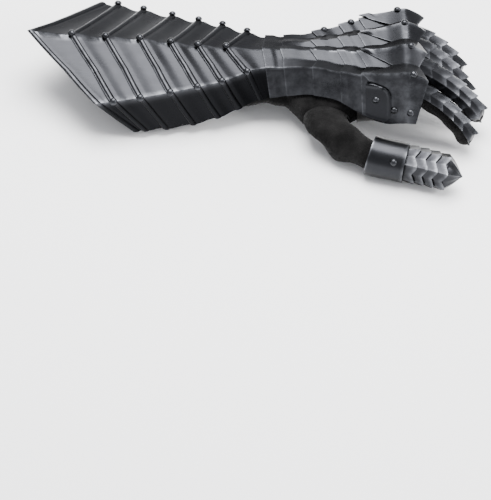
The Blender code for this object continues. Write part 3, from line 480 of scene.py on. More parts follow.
def revolve(profile, sides, place, normal, wear=0.0):
    """Closed turned piece: the profile (radius, height) swept round the normal through place, its
    first and last points on the axis."""
    profile = np.array(profile, float)
    normal = unit(np.array(normal, float))
    helper = np.eye(3)[0 if abs(normal[0]) < 0.8 else 1]
    first = unit(np.cross(normal, helper))
    angle = full_turn(sides)[:, None]
    spoke = np.cos(angle) * first + np.sin(angle) * np.cross(normal, first)
    radius, height = profile[:, 0, None, None], profile[:, 1, None, None]
    rings = place + radius[1:-1] * spoke + height[1:-1] * normal
    verts, faces, worn_and_painted_light = capped(rings, place + height[0, 0] * normal, place + height[-1, 0] * normal)
    return verts, faces, worn_and_painted_light + wear


def joined(parts):
    """Several (points, faces, wear and painted light) parts as one, with the faces' numbers moved along."""
    faces = []
    offset = 0
    for verts, part_faces, _ in parts:
        faces += [[number + offset for number in face] for face in part_faces]
        offset += len(verts)
    return np.concatenate([part[0] for part in parts]), faces, np.concatenate([part[2] for part in parts])


def lay(points):
    """Points of the hand frame as they lie: turned about y, then shifted."""
    angle = math.radians(LYING_TURN)
    turn = np.array([[math.cos(angle), 0.0, -math.sin(angle)], [0.0, 1.0, 0.0],
                     [math.sin(angle), 0.0, math.cos(angle)]])
    return points @ turn.T + np.array(LYING_SHIFT)


def new_mesh(name, part):
    """Mesh from (points, faces, wear and painted light), laid down, with its faces turned outwards."""
    mesh = bpy.data.meshes.new(name)
    mesh.from_pydata(lay(part[0]).tolist(), [], part[1])
    mesh.update()
    shape = bmesh.new()
    shape.from_mesh(mesh)
    bmesh.ops.recalc_face_normals(shape, faces=shape.faces)
    shape.to_mesh(mesh)
    shape.free()
    return mesh


def new_object(name, data):
    """Object with the data, in the scene."""
    item = bpy.data.objects.new(name, data)
    bpy.context.scene.collection.objects.link(item)
    return item


def make_piece(name, part, finish, node=None, sharp=PLATE_SHARP):
    """Object from (points, faces, wear and painted light), shaded smooth with crisp ridges, riding on the
    frame in place of its node."""
    material, slot = finish()
    mesh = new_mesh(name, part)
    mesh.shade_smooth()
    mesh.set_sharp_from_angle(angle=math.radians(sharp))
    # The attribute holds rubbed wear, painted light on the hand's side walls and painted shade (negative
    # values) on the cuff's side walls
    wear = mesh.attributes.new("wear", "FLOAT", "POINT")
    wear.data.foreach_set("value", part[2].astype(np.float32))
    mesh.materials.append(material)
    item = new_object(name, mesh)
    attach(item, "root")
    if node:
        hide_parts(node)
    return item


def cut_out(item, part):
    """Takes the closed shapes in part out of a piece and keeps the result as its mesh."""
    mesh = new_mesh("hole_tool", part)
    tool = new_object("hole_tool", mesh)
    cut = item.modifiers.new("holes", "BOOLEAN")
    cut.operation = "DIFFERENCE"
    cut.object = tool
    bpy.context.view_layer.update()
    graph = bpy.context.evaluated_depsgraph_get()
    made = bpy.data.meshes.new_from_object(item.evaluated_get(graph))
    item.modifiers.remove(cut)
    old = item.data
    item.data = made
    bpy.data.meshes.remove(old)
    made.name = item.name
    bpy.data.objects.remove(tool, do_unlink=True)
    bpy.data.meshes.remove(mesh)


# Steel pieces

def dome(radius, height):
    """Profile of a domed rivet head: a flat foot, then a quarter ellipse up to the pole."""
    turn = np.linspace(0.0, math.pi / 2, 7)
    rise = [(radius * math.cos(t), height * math.sin(t)) for t in turn[:-1]]
    return [(0.0, -RIVET_SINK), (radius, -RIVET_SINK)] + rise + [(0.0, height)]


def seat(x, column, level, free=None, share=0.0):
    """Place and outward direction on the steel: on a ridge, or part of the way down a side."""
    across, height = section(np.array([x]))
    side_y, side_z = outward(across, height)
    y, z = across[0, column], height[0, column]
    normal = np.array([0.0, side_y[0, column], side_z[0, column]])
    lift = level * np.linalg.norm(normal)
    if free is not None:
        run = np.array([across[0, free] - y, height[0, free] - z])
        turn = 1.0 if free > column else -1.0
        normal = np.array([0.0, -run[1] * turn, run[0] * turn])
        y, z = y + share * run[0], z + share * run[1]
        lift = level
    normal = unit(normal)
    return np.array([x, y, z]) + normal * lift, normal


def side_tab(corner, free):
    """Rounded tab of the last hand lame on the knuckle plate's side: a grid from its straight root
    to a rounded front, whose reach falls off as a superellipse of the height, with a rolled rim."""
    across = np.linspace(-1.0, 1.0, 41)[None, :]
    share = np.linspace(0.0, 1.0, 26)[:, None]
    reach = 1.0 - TAB_ROUNDING * np.abs(across - 0.1) ** 6
    x = CUFF_LENGTH + HAND_LENGTH * (TAB_SPAN[0] + share * reach * (TAB_SPAN[1] - TAB_SPAN[0]))
    down = TAB_BAND[0] + (across + 1.0) / 2 * (TAB_BAND[1] - TAB_BAND[0])
    turn = 1.0 if free > corner else -1.0
    edge = np.minimum((1.0 - share) * reach * 20.0, np.minimum(1.0 - across, 1.0 + across) * 12.0)
    level = KNUCKLE_LEVEL + TAB_THICKNESS + TAB_RIM * bell(edge - 1.0, 0.8)
    points = steel_surface(x, level, corner + turn * 2.0 * down)
    # Rubbed rim plus painted light over the whole tab
    return shell(points, TAB_THICKNESS, np.clip(0.8 * bell(edge, 1.2) + SIDE_PAINTED_LIGHT, 0.0, 1.0))


def rivet(place, normal):
    """Domed rivet head."""
    sizes = bpy.context.scene.gauntlet
    return revolve(dome(sizes.rivet_radius, sizes.rivet_height), 18, place, normal, RIVET_WEAR)


def ridge_wear(column, ridges, width):
    """1 on each ridge column, falling off as a bell over width columns."""
    return bell(np.min(np.abs(column[:, None] - np.array(ridges)[None, :]), axis=1), width)[None, :]


def side_walls(column):
    """1 on the columns of the side walls, 0 between the corners."""
    return step((np.abs(column - 5.0) - 3.1) / 0.3)[None, :]


def lame(start, end, kind, column):
    """A lame: rows at growing distance d from its edge. Their level is the lap, falling on a ramp,
    plus a bead of half ellipse section, less a shallow hollow beyond it."""
    sizes = bpy.context.scene.gauntlet
    plain = kind == "plain"
    finish = end + LAP_LENGTH - END_CLEARANCE
    near = np.concatenate([np.linspace(0.0, BEAD_ROWS[0], 18), np.linspace(*BEAD_ROWS[1:], 5)])[:, None]
    rest = np.linspace(0.0, 1.0, 12)[1:, None]
    x = np.concatenate([start + near, start + near[-1] + rest * (finish - start - near[-1])])
    d = x - start
    if kind == "border":
        level = np.zeros_like(d)
        half = sizes.border_width / 2
        centre = half
    else:
        ramp = np.maximum(0.7 * (end - start - LAP_LENGTH), RAMP_LENGTH)
        level = LAP_LEVEL * (1.0 - step((d - LAP_LENGTH) / ramp))
        half = sizes.bead_width / 2
        centre = half + BEAD_INSET
    if not plain:
        level += sizes.bead_height * np.sqrt(np.clip(1.0 - ((d - centre) / half) ** 2, 0.0, 1.0))
    body = np.clip((d - HOLLOW_START) / np.maximum(finish - start - HOLLOW_START, 1e-4), 0.0, 1.0)
    level -= sizes.hollow * (1 / 6 if plain else 1.0) * np.sin(math.pi * body)
    wear = bell(d, EDGE_WEAR)
    if not plain:
        wear = np.maximum(wear * 0.35, 0.22 * bell(d - centre, half * 0.45))
    ridges = ridge_wear(column, (THUMB_CORNER, KEEL, FAR_CORNER), 0.07)
    wear = np.clip(wear * (0.4 if plain else 1.0) + 0.7 * ridges, 0.0, 1.0)
    wall = side_walls(column)
    # Side walls: painted light on plain lames, painted shade (negative values) on beaded and bordered lames
    if plain:
        wear = np.clip(wear + SIDE_PAINTED_LIGHT * wall, 0.0, 1.0)
    else:
        wear = wear * (1.0 - 0.6 * wall) - SIDE_PAINTED_SHADE * wall
    return shell(steel_surface(x, level, column), PLATE, wear)


def knuckle_shell(column):
    """Knuckle plate: rows from the tongues' zigzag to the crest and on to the lip. It lies one level
    up, and a lap higher where it crosses the last hand lame's own lap."""
    start = edge_line(TONGUE_EDGE, column)
    lip = edge_line(KNUCKLE_LIP, column)
    crest = np.full(len(column), CUFF_LENGTH + HAND_SECTIONS[CREST_SECTION][0] * HAND_LENGTH)
    lap_end = edge_line(EDGES[LAST_HAND_EDGE], column) + LAP_LENGTH + RAMP_LENGTH
    share = np.linspace(0.0, 1.0, 30)[:, None] ** 1.3
    fall = np.linspace(0.0, 1.0, 12)[1:, None]
    x = np.concatenate([start + share * (crest - start), crest + fall * (lip - crest)])
    stacked = step((lap_end - start) / STACK_RAMP)
    level = KNUCKLE_LEVEL + LAP_LEVEL * stacked * (1.0 - step((x - lap_end) / (2 * RAMP_LENGTH)))
    level = level + CREST_RISE * bell(x - crest, CREST_WIDTH)
    wear = 0.5 * bell(x - start, KNUCKLE_WEAR) + 0.25 * bell(x - crest, CREST_WIDTH / 2)
    wear = wear + 0.5 * bell(lip - x, KNUCKLE_WEAR)
    ridges = ridge_wear(column, (THUMB_CORNER, KEEL, RING_RIDGE, FAR_CORNER), 0.10)
    # Painted light on the knuckle plate's side walls
    wear = np.clip(wear + 0.8 * ridges + SIDE_PAINTED_LIGHT * side_walls(column), 0.0, 1.0)
    return shell(steel_surface(x, level, column), PLATE, wear)


# Paths

def path_frames(points, roll):
    """Length along a path with its tangent, sideways and dorsal directions: sideways is level, and
    the pair is then rolled about the tangent."""
    along = run_length(points)
    tangent = unit(np.gradient(points, along, axis=0))
    side = unit(np.cross([0.0, 0.0, 1.0], tangent))
    dorsal = np.cross(tangent, side)
    angle = math.radians(roll)
    turned = math.cos(angle) * dorsal - math.sin(angle) * side
    flat = math.cos(angle) * side + math.sin(angle) * dorsal
    return along, points, tangent, flat, turned


def along_path(path, s):
    """Point, sideways and dorsal direction at each length s, straight on past either end."""
    length, points, tangent, side, dorsal = path
    inside = np.clip(s, 0.0, length[-1])
    past = (s - inside)[..., None]
    place = read_rows(inside, length, points) + np.where(past > 0, past * tangent[-1], past * tangent[0])
    return place, read_rows(inside, length, side), read_rows(inside, length, dorsal)


def on_path(path, s, wide, high):
    """Points at lengths s of a path, wide to the side and high on the dorsal side."""
    place, side, up = along_path(path, s)
    return place + side * wide[..., None] + up * high[..., None]


def finger_path(row):
    """A finger's centre line: its pitch falls evenly from the knuckle to the tip."""
    _, across, height, reach, first, last, yaw, _ = row
    root = np.array([GLOVE_FRONT + FINGER_ROOT_GAP, across * KNUCKLE_HALF, height * KNUCKLE_HEIGHT])
    s = np.linspace(0.0, reach, 61)
    pitch = np.radians(first + (last - first) * s / reach)
    turn = math.radians(yaw)
    heading = np.stack([np.cos(pitch) * math.cos(turn), np.cos(pitch) * math.sin(turn),
                        -np.sin(pitch)], axis=-1)
    middle = (heading[1:] + heading[:-1]) / 2 * np.diff(s)[:, None]
    points = root + np.concatenate([np.zeros((1, 3)), np.cumsum(middle, axis=0)])
    return path_frames(points, 0.0)


def thumb_path(roll):
    """The thumb's centre line: a smooth curve through its route from the glove's side."""
    route = THUMB_ROUTE * THUMB_REACH
    steps = run_length(route)
    s = np.linspace(0.0, steps[-1], 80)
    forward, out, down = (smooth(s, steps, route[:, i]) for i in range(3))
    return path_frames(np.array(THUMB_ROOT) + np.stack([forward, -out, -down], axis=-1), roll)


def scale(path, begin, finish, tip, half, ridge, first=0):
    """One pointed scale: a faceted arch carried along the path. Its free edge runs out in teeth on
    the ridge and the shoulders, each facet is a little hollow, and it rises towards its free
    edge; a tip scale narrows to its end instead."""
    sizes = bpy.context.scene.gauntlet
    base = np.arange(len(SCALE_PROFILE))
    column = np.linspace(first, base[-1], 6 * (base[-1] - first) + 1)
    across, height, tooth = read_rows(column, base, SCALE_PROFILE).T[:, None, :]
    share = np.linspace(0.0, 1.0, 14)[:, None]
    if tip:
        s = begin + share * (finish + tip - begin)
        teeth = 1.0 - step(share * 2.2)
        shrink = np.maximum(1.0 - np.clip((share - 0.25) / 0.75, 0.0, 1.0) ** 1.4, TIP_BLUNT)
        level = SCALE_LEVEL * 0.3 * np.sin(math.pi * share)
    else:
        s = begin + share * (finish + SCALE_LAP - begin)
        teeth = shrink = np.ones_like(share)
        level = sizes.scale_lift * np.clip((share - 0.15) / 0.85, 0.0, 1.0) * (0.7 + 0.3 * tooth)
    s = s + teeth * tooth * TOOTH
    fraction = column - np.floor(column)
    level = level - sizes.facet_hollow * 4 * fraction * (1 - fraction) * step(share * 2.0)
    taper = 1.0 - FINGER_TAPER * np.clip(s / path[0][-1], 0.0, 1.0)
    wide = across * half * taper * shrink
    high = height * ridge * taper * shrink
    out_y, out_z = outward(wide, high)
    points = on_path(path, s, wide + out_y * level, high + out_z * level)
    wear = 0.8 * bell(1.0 - share, 0.2) + 0.3 * ridge_wear(column, (1, 3, 5), 0.14)
    return shell(points, SCALE_PLATE, np.clip(wear, 0.0, 1.0))


def glove_finger(path, radius, flat_root, sides, rows, wrinkle, swell=0.0):
    """Closed glove finger: rings round the path from a little before it to a rounded end, with its
    sides a little ridged by a seam and cross folds where it bends."""
    length = path[0][-1]
    dome_length = radius * 1.25
    body = np.linspace(-FINGER_SOCKET, length - dome_length, rows)
    turn = np.linspace(0.0, math.pi / 2, 12)[1:]
    s = np.concatenate([body, length - dome_length + dome_length * np.sin(turn)])
    girth = radius * (1.0 - FINGER_TAPER * np.clip(s, 0.0, None) / length)
    girth = girth * (1.0 + swell * bell(s, 0.30 * length))
    share = np.clip((s - (length - dome_length)) / dome_length, 0.0, 1.0)
    girth = (girth * np.sqrt(np.clip(1.0 - share**2, 0.0, 1.0)))[:, None]
    angle = full_turn(sides)
    ease = 1.0 + (flat_root / radius - 1.0) * np.clip(1.0 - s / (2.5 * radius), 0.0, 1.0)
    fold = np.sin(s / FINGER_FOLDS[0])[:, None] * np.clip(-np.sin(angle - 0.3), 0.0, 1.0)
    fold = fold + np.sin(s / FINGER_FOLDS[1] + 1.0)[:, None] * np.sin(2 * angle + 0.7)
    seam = FINGER_SEAM * bell(np.abs(np.cos(angle)) - 1.0, 0.02)
    reach = girth + (fold * wrinkle + seam) * girth / radius
    points = on_path(path, s[:, None], -np.cos(angle) * reach, np.sin(angle) * reach * ease[:, None])
    return capped(points[:-1], points[0].mean(axis=0), points[-1].mean(axis=0))


# Glove

def glove_side(corner, free, sign, low, thenar, room):
    """Side of a glove section from below its corner to the palm, inside the steel's side."""
    share = np.clip((corner[1] - low) / (corner[1] - free[1]), 0.0, 1.0)
    inset = sign * (PLATE + room)
    part = np.array([0.30, 0.62, 0.82, 1.0])
    line = np.stack([corner[0] + part * share * (free[0] - corner[0]) - inset,
                     corner[1] - part * (corner[1] - low)], axis=-1)
    out, top, bottom, drop = THENAR
    hip = free[1] - drop
    aims = np.array([(line[0, 0], (corner[1] + hip) / 2), (free[0] - inset, hip),
                     (-out, top), (-out, bottom)])
    return line + thenar * (aims - line)


def glove_ring(row):
    """One closed section of the glove from a row of GLOVE_SECTIONS: under the steel on top, down the
    sides, round the palm."""
    along, palm, thenar, room = row * (WHOLE, CORNER_HEIGHT, 1.0, SIDE_ROOM)
    across, height = (values[0] for values in section(np.array([along])))
    steel_line = np.stack([across, height], axis=-1)
    top = slice(THUMB_CORNER, FAR_CORNER + 1)
    inset = np.array([PLATE + room] + 5 * [PLATE + LINING_GAP] + [PLATE + room])[:, None]
    points = steel_line[top] - outward(across, height).T[top] * inset
    low = palm + PALM_ROLL
    far = glove_side(steel_line[FAR_CORNER], steel_line[FAR_FREE], 1.0, low, 0.0, room)
    near = glove_side(steel_line[THUMB_CORNER], steel_line[THUMB_FREE], -1.0, low, thenar, room)
    share = np.array([0.86, 0.45, 0.0, 0.45, 0.86])
    side = np.array([far[3], far[3], far[3], near[3], near[3]])
    palm_line = np.stack([share * side[:, 0], palm + (side[:, 1] - palm) * share**4 * 0.5], axis=-1)
    return np.concatenate([points, far, palm_line, near[::-1]])


def closed_curve(points, count):
    """A closed smooth line through points: each span is a Catmull-Rom cubic of its neighbours."""
    amount = len(points)
    u = np.arange(count) / count * amount
    low = np.floor(u).astype(int)
    t = (u - low)[:, None]
    a, b = points[(low - 1) % amount], points[low % amount]
    c, d = points[(low + 1) % amount], points[(low + 2) % amount]
    return 0.5 * (2 * b + (c - a) * t + (2 * a - 5 * b + 4 * c - d) * t**2 + (3 * b - a - 3 * c + d) * t**3)


def glove_surface():
    """Outer grid of the glove body with its folds, the plain grid and its normals: sections are
    blended evenly along x, then moved out by folds that are products of sines, deepest below the
    wrist, by a hem at the mouth and by a seam down the middle of the palm."""
    sizes = bpy.context.scene.gauntlet
    rings = np.array([closed_curve(glove_ring(row), GLOVE_SIDES) for row in GLOVE_SECTIONS])
    known = GLOVE_SECTIONS[:, 0] * WHOLE
    x = np.linspace(known[0], known[-1], 110)
    place = np.clip(np.searchsorted(known, x, side="right") - 1, 0, len(known) - 2)
    share = ((x - known[place]) / (known[place + 1] - known[place]))[:, None, None]
    flat = rings[place] * (1 - share) + rings[place + 1] * share
    points = np.concatenate([np.broadcast_to(x[:, None, None], flat.shape[:2] + (1,)), flat], axis=-1)
    normals = grid_normals(np.concatenate([points, points[:, :2]], axis=1))[:, :GLOVE_SIDES]
    angle = full_turn(GLOVE_SIDES)
    x = x[:, None]
    below = step((FOLDS_BELOW - points[..., 2]) / 0.02)
    fold = np.sin(x / GLOVE_FOLDS[0]) * np.sin(1.7 * angle + 9 * x)
    fold = fold + 0.7 * np.sin(x / GLOVE_FOLDS[1] + 2.3 * np.sin(angle))
    fold = fold * sizes.glove_fold * below * (0.35 + bell(x - CUFF_LENGTH, 0.03))
    hem = GLOVE_HEM[0] * step((known[0] + GLOVE_HEM[1] - x) / GLOVE_HEM[2])
    seam = PALM_SEAM[0] * bell(points[..., 1], PALM_SEAM[1]) * below
    outer = points + normals * (np.minimum(fold, FOLD_RISE) + hem + seam)[..., None]
    return outer, points, normals


def glove_body():
    """Closed glove body: the outer grid, an inner one a leather thickness in, joined at the mouth,
    and a front wall behind the fingers."""
    outer, points, normals = glove_surface()
    inner = (points - normals * LEATHER)[:-1]
    rows, count = outer.shape[:2]
    size = rows * count
    verts = np.concatenate([outer.reshape(-1, 3), inner.reshape(-1, 3), [outer[-1].mean(axis=0)],
                            [inner[-1].mean(axis=0)]])
    ring = np.arange(count)
    after = np.roll(ring, -1)
    mouth = np.stack([ring, after, after + size, ring + size], axis=-1)
    faces = [grid_faces(rows, count, wrap=True), mouth,
             grid_faces(rows - 1, count, size, wrap=True, flip=True)]
    faces = np.concatenate(faces).tolist() + fan(size - count, count, len(verts) - 2)
    faces += fan(size + (rows - 2) * count, count, len(verts) - 1)
    return verts, faces, np.zeros(len(verts))


def stitches(line, normal, gap, reach, radius):
    """Row of thread stitches: at even steps of a line stands an ellipsoid, its long half axis reach
    along the line and its other two half axes radius across it."""
    run = run_length(line)
    s = np.arange(gap / 2, run[-1], gap)
    up = read_rows(s, run, normal)
    along = unit(read_rows(s, run, np.gradient(line, run, axis=0)))
    rise = np.linspace(-math.pi / 2, math.pi / 2, 7)[1:-1, None]
    turn = full_turn(8)[None, :]
    rings = np.stack([np.sin(rise) * reach * np.ones_like(turn), np.cos(rise) * np.cos(turn) * radius,
                      np.cos(rise) * np.sin(turn) * radius], axis=-1)
    shape, faces, wear = capped(rings, (-reach, 0.0, 0.0), (reach, 0.0, 0.0))
    verts = read_rows(s, run, line)[:, None, :] + shape @ np.stack([along, np.cross(along, up), up], axis=1)
    return joined([(stitch, faces, wear) for stitch in verts])


# Straps

def rounded_line(points, radius, count):
    """An open line through corner points with its corners cut to arcs of about radius, resampled to
    even steps: each corner becomes a quadratic curve between the points a radius before and after."""
    points = np.array(points, float)
    pieces = [points[:1]]
    t = np.linspace(0.0, 1.0, 8)[:, None]
    for before, here, after in zip(points[:-2], points[1:-1], points[2:]):
        first, last = (here + (end - here) * min(0.5, radius / np.linalg.norm(end - here))
                       for end in (before, after))
        pieces.append((1 - t) ** 2 * first + 2 * t * (1 - t) * here + t**2 * last)
    line = np.concatenate(pieces + [points[-1:]])
    run = run_length(line)
    return read_rows(np.linspace(0.0, run[-1], count), run, line)


def rounded_box(half, corner, steps):
    """Outline of a box about the origin, with half sizes (x, y), each corner a quarter ellipse."""
    half, corner = np.array(half), np.array(corner)
    pieces = []
    for spin, sign in enumerate(((1, 1), (-1, 1), (-1, -1), (1, -1))):
        turn = np.linspace(0.0, math.pi / 2, steps) + spin * math.pi / 2
        pieces.append(sign * (half - corner) + corner * np.stack([np.cos(turn), np.sin(turn)], axis=-1))
    return np.concatenate(pieces)


def band(lines, x, radius, count):
    """Closed strap: a rounded oblong carried along the two edge lines. The oblong's width runs from
    the first line to the second, and its thickness outward from them."""
    edges = np.array([rounded_line(line, radius, count) for line in lines])
    out = unit(np.array([off_line(line) for line in edges]))
    spots = 0.5 + rounded_box((0.5, 0.5), (STRAP_ROUNDING * STRAP_THICKNESS / STRAP_WIDTH, STRAP_ROUNDING), 5)
    a, b = spots[:, 0][None, :, None], spots[:, 1][None, :, None]
    flat = edges[0][:, None] * (1 - a) + edges[1][:, None] * a
    lift = out[0][:, None] * (1 - a) + out[1][:, None] * a
    yz = flat + lift * b * STRAP_THICKNESS
    across = np.broadcast_to(x - STRAP_WIDTH / 2 + a * STRAP_WIDTH, yz.shape[:2] + (1,))
    points = np.concatenate([across, yz], axis=-1)
    verts, faces, wear = capped(points, points[0].mean(axis=0), points[-1].mean(axis=0))
    rim = bell(np.minimum(spots[:, 0], 1 - spots[:, 0]), 0.04)
    wear[:-2] = np.tile(rim, count)
    return verts, faces, wear


def wall_inside(x, height_above, sign):
    """A point on the inner face of the cuff's side wall, some way above its free edge."""
    across, height = section(np.array([x]))
    corner, free = (FAR_CORNER, FAR_FREE) if sign > 0 else (THUMB_CORNER, THUMB_FREE)
    share = height_above / (height[0, corner] - height[0, free])
    y = across[0, free] + share * (across[0, corner] - across[0, free])
    return y - sign * (PLATE + STRAP_GAP + STRAP_THICKNESS), height[0, free] + height_above


def strap_side(x, sign, level):
    """The strap's stretch along the wall, then its turn towards the middle of the open side."""
    top = wall_inside(x, STRAP_RISE, sign)
    low = wall_inside(x, STRAP_TURN, sign)
    return [top, low, (low[0] - sign * 0.35 * STRAP_TURN, level + 0.30 * STRAP_TURN),
            (low[0] - sign * STRAP_TURN, level)]


def round_tube(points, radius, closed):
    """Closed tube of round section along points: rings stand square to the line, and its ends are
    closed, or it runs round where closed is set."""
    if closed:
        tangent = np.roll(points, -1, axis=0) - np.roll(points, 1, axis=0)
    else:
        tangent = np.gradient(points, axis=0)
    tangent = unit(tangent)
    side = unit(np.cross([0.0, 0.0, 1.0], tangent))
    angle = full_turn(16)[None, :, None]
    rings = points[:, None, :] + radius * (np.sin(angle) * np.cross(tangent, side)[:, None, :]
                                           - np.cos(angle) * side[:, None, :])
    if not closed:
        return capped(rings, points[0], points[-1])
    count, sides = rings.shape[:2]
    low = np.arange(sides)
    last = low + (count - 1) * sides
    seam = np.stack([last, low, np.roll(low, -1), np.roll(last, -1)], axis=-1)
    faces = np.concatenate([grid_faces(count, sides, wrap=True), seam]).tolist()
    return rings.reshape(-1, 3), faces, np.zeros(count * sides)


# Shader groups

def new_group(name, inputs, outputs):
    """Empty node group with float inputs (name, default) and float outputs."""
    group = bpy.data.node_groups.new(name, "ShaderNodeTree")
    for label, default in inputs:
        socket = group.interface.new_socket(label, in_out="INPUT", socket_type="NodeSocketFloat")
        socket.default_value = default
    for label in outputs:
        group.interface.new_socket(label, in_out="OUTPUT", socket_type="NodeSocketFloat")
    return group, group.nodes.new("NodeGroupInput"), group.nodes.new("NodeGroupOutput")


def math_node(tree, operation, *values):
    """Math node fed by sockets or numbers."""
    node = tree.nodes.new("ShaderNodeMath")
    node.operation = operation
    for socket, value in zip(node.inputs, values):
        feed(tree, socket, value)
    return node.outputs[0]


def feed(tree, socket, value):
    """Links a socket to another one, or sets its number or colour."""
    if isinstance(value, bpy.types.NodeSocket):
        tree.links.new(value, socket)
    else:
        socket.default_value = value


def map_node(tree, value, from_range, to_range=(0.0, 1.0)):
    """Map range node: carries the first range to the second and stops at its ends."""
    node = tree.nodes.new("ShaderNodeMapRange")
    for label, number in zip(("Value", "From Min", "From Max", "To Min", "To Max"),
                             (value, *from_range, *to_range)):
        feed(tree, node.inputs[label], number)
    return node.outputs["Result"]


def total(tree, *terms):
    """Sum of shares: each term is a socket and its share."""
    result = None
    for socket, share in terms:
        term = math_node(tree, "MULTIPLY", socket, share)
        result = term if result is None else math_node(tree, "ADD", result, term)
    return result


def noise_node(tree, vector, scale, detail, rough=0.55):
    """Noise on object coordinates; scale is a socket or a number in features per metre."""
    node = tree.nodes.new("ShaderNodeTexNoise")
    for label, value in (("Vector", vector), ("Scale", scale), ("Detail", detail), ("Roughness", rough)):
        feed(tree, node.inputs[label], value)
    return node.outputs["Fac"]


def metal_group():
    """Polish of worked metal: clouded tone, uneven gloss, worn ridges and fine scratches, with the painted
    light and painted shade that the wear attribute carries.
    """
    group, entry, leave = new_group(
        "worked_metal",
        (("Cloud Scale", 18.0), ("Wear", 0.6), ("Rough Low", 0.2), ("Rough High", 0.4)),
        ("Tone", "Dark", "Worn", "Roughness", "Relief"))
    links = group.links
    vector = group.nodes.new("ShaderNodeTexCoord").outputs["Object"]
    cloud = noise_node(group, vector, entry.outputs["Cloud Scale"], 4.0)
    patch = noise_node(group, vector, 95.0, 5.0, 0.65)
    speck = noise_node(group, vector, 620.0, 3.0, 0.7)
    stretch = group.nodes.new("ShaderNodeMapping")
    stretch.inputs["Scale"].default_value = (60.0, 900.0, 900.0)
    links.new(vector, stretch.inputs["Vector"])
    brushed = noise_node(group, stretch.outputs["Vector"], 1.0, 3.0, 0.6)
    wear = group.nodes.new("ShaderNodeAttribute")
    wear.attribute_name = "wear"
    # Positive values are rubbed wear and painted light, negative values are painted shade
    bare = math_node(group, "MAXIMUM", wear.outputs["Fac"], 0.0)
    painted_shade = math_node(group, "MAXIMUM", math_node(group, "MULTIPLY", wear.outputs["Fac"], -1.0), 0.0)
    worn_and_painted_light = math_node(group, "MULTIPLY", bare, entry.outputs["Wear"])
    worn_and_painted_light = math_node(group, "MULTIPLY", worn_and_painted_light, map_node(group, patch, (0.36, 0.66)))
    tone = math_node(group, "ADD", total(group, (cloud, 0.6), (patch, 0.35)), 0.2)
    gloss = map_node(group, total(group, (cloud, 0.6), (brushed, 0.4)), (0.3, 0.7),
                     (entry.outputs["Rough Low"], entry.outputs["Rough High"]))
    relief = total(group, (patch, 0.5), (speck, 0.2), (brushed, 0.15))
    for socket, value in zip(leave.inputs, (tone, painted_shade, worn_and_painted_light, gloss, relief)):
        links.new(value, socket)
    return group


def nap_group():
    """Nap and grain of leather: brushed patches, short fibres and small pores."""
    group, entry, leave = new_group(
        "leather_nap", (("Patch Scale", 30.0), ("Fibre Scale", 900.0)), ("Patch", "Fibre", "Relief"))
    vector = group.nodes.new("ShaderNodeTexCoord").outputs["Object"]
    patch = noise_node(group, vector, entry.outputs["Patch Scale"], 6.0, 0.6)
    fibre = noise_node(group, vector, entry.outputs["Fibre Scale"], 3.0, 0.75)
    crease = noise_node(group, vector, 140.0, 5.0, 0.6)
    pores = group.nodes.new("ShaderNodeTexVoronoi")
    pores.inputs["Scale"].default_value = 1100.0
    group.links.new(vector, pores.inputs["Vector"])
    relief = total(group, (fibre, 0.35), (crease, 0.9), (pores.outputs["Distance"], 0.25))
    for socket, value in zip(leave.inputs, (patch, fibre, relief)):
        group.links.new(value, socket)
    return group


def place_group(tree, name, make_group, values):
    """Group node in a material, with its own input values; the group is made once."""
    node = tree.nodes.new("ShaderNodeGroup")
    node.node_tree = bpy.data.node_groups.get(name) or make_group()
    for label, value in values.items():
        node.inputs[label].default_value = value
    return node


def mix_colour(tree, factor, first, second):
    """Mixes two colours, given as tuples or sockets, by a factor socket."""
    node = tree.nodes.new("ShaderNodeMix")
    node.data_type = "RGBA"
    for socket, value in zip((node.inputs["Factor"], node.inputs[6], node.inputs[7]),
                             (factor, first, second)):
        feed(tree, socket, value)
    return node.outputs[2]


def bump(tree, shader, height, strength, distance):
    """Bump of a height socket on a shader's normal."""
    node = tree.nodes.new("ShaderNodeBump")
    node.inputs["Strength"].default_value = strength
    node.inputs["Distance"].default_value = distance
    tree.links.new(height, node.inputs["Height"])
    tree.links.new(node.outputs["Normal"], shader.inputs["Normal"])


def shade(colour, factor):
    """A colour made lighter or darker, with alpha."""
    return tuple(min(1.0, channel * factor) for channel in colour[:3]) + (1.0,)


def new_material(name):
    """A new material with its node tree and its shader."""
    material = bpy.data.materials.new(name)
    material.use_nodes = True
    return material, material.node_tree, material.node_tree.nodes["Principled BSDF"]


def metal_material(name, colour, worn_and_painted_light_colour, wear, rough, cloud, relief):
    """Worked metal: tone between two shades of its colour, lighter where it is worn or carries painted light,
    and much darker where it carries painted shade.
    """
    if name in bpy.data.materials:
        return bpy.data.materials[name]
    material, tree, shader = new_material(name)
    node = place_group(tree, "worked_metal", metal_group,
                       {"Cloud Scale": cloud, "Wear": wear, "Rough Low": rough[0], "Rough High": rough[1]})
    toned = mix_colour(tree, node.outputs["Tone"], shade(colour, 0.55), shade(colour, 1.35))
    # Painted shade: darkens the cuff's side walls
    toned = mix_colour(tree, node.outputs["Dark"], toned, shade(colour, 0.12))
    worn_and_painted_light = mix_colour(tree, node.outputs["Worn"], toned, shade(worn_and_painted_light_colour, 1.0))
    tree.links.new(worn_and_painted_light, shader.inputs["Base Color"])
    tree.links.new(node.outputs["Roughness"], shader.inputs["Roughness"])
    shader.inputs["Metallic"].default_value = 1.0
    bump(tree, shader, node.outputs["Relief"], relief, METAL_RELIEF)
    return material


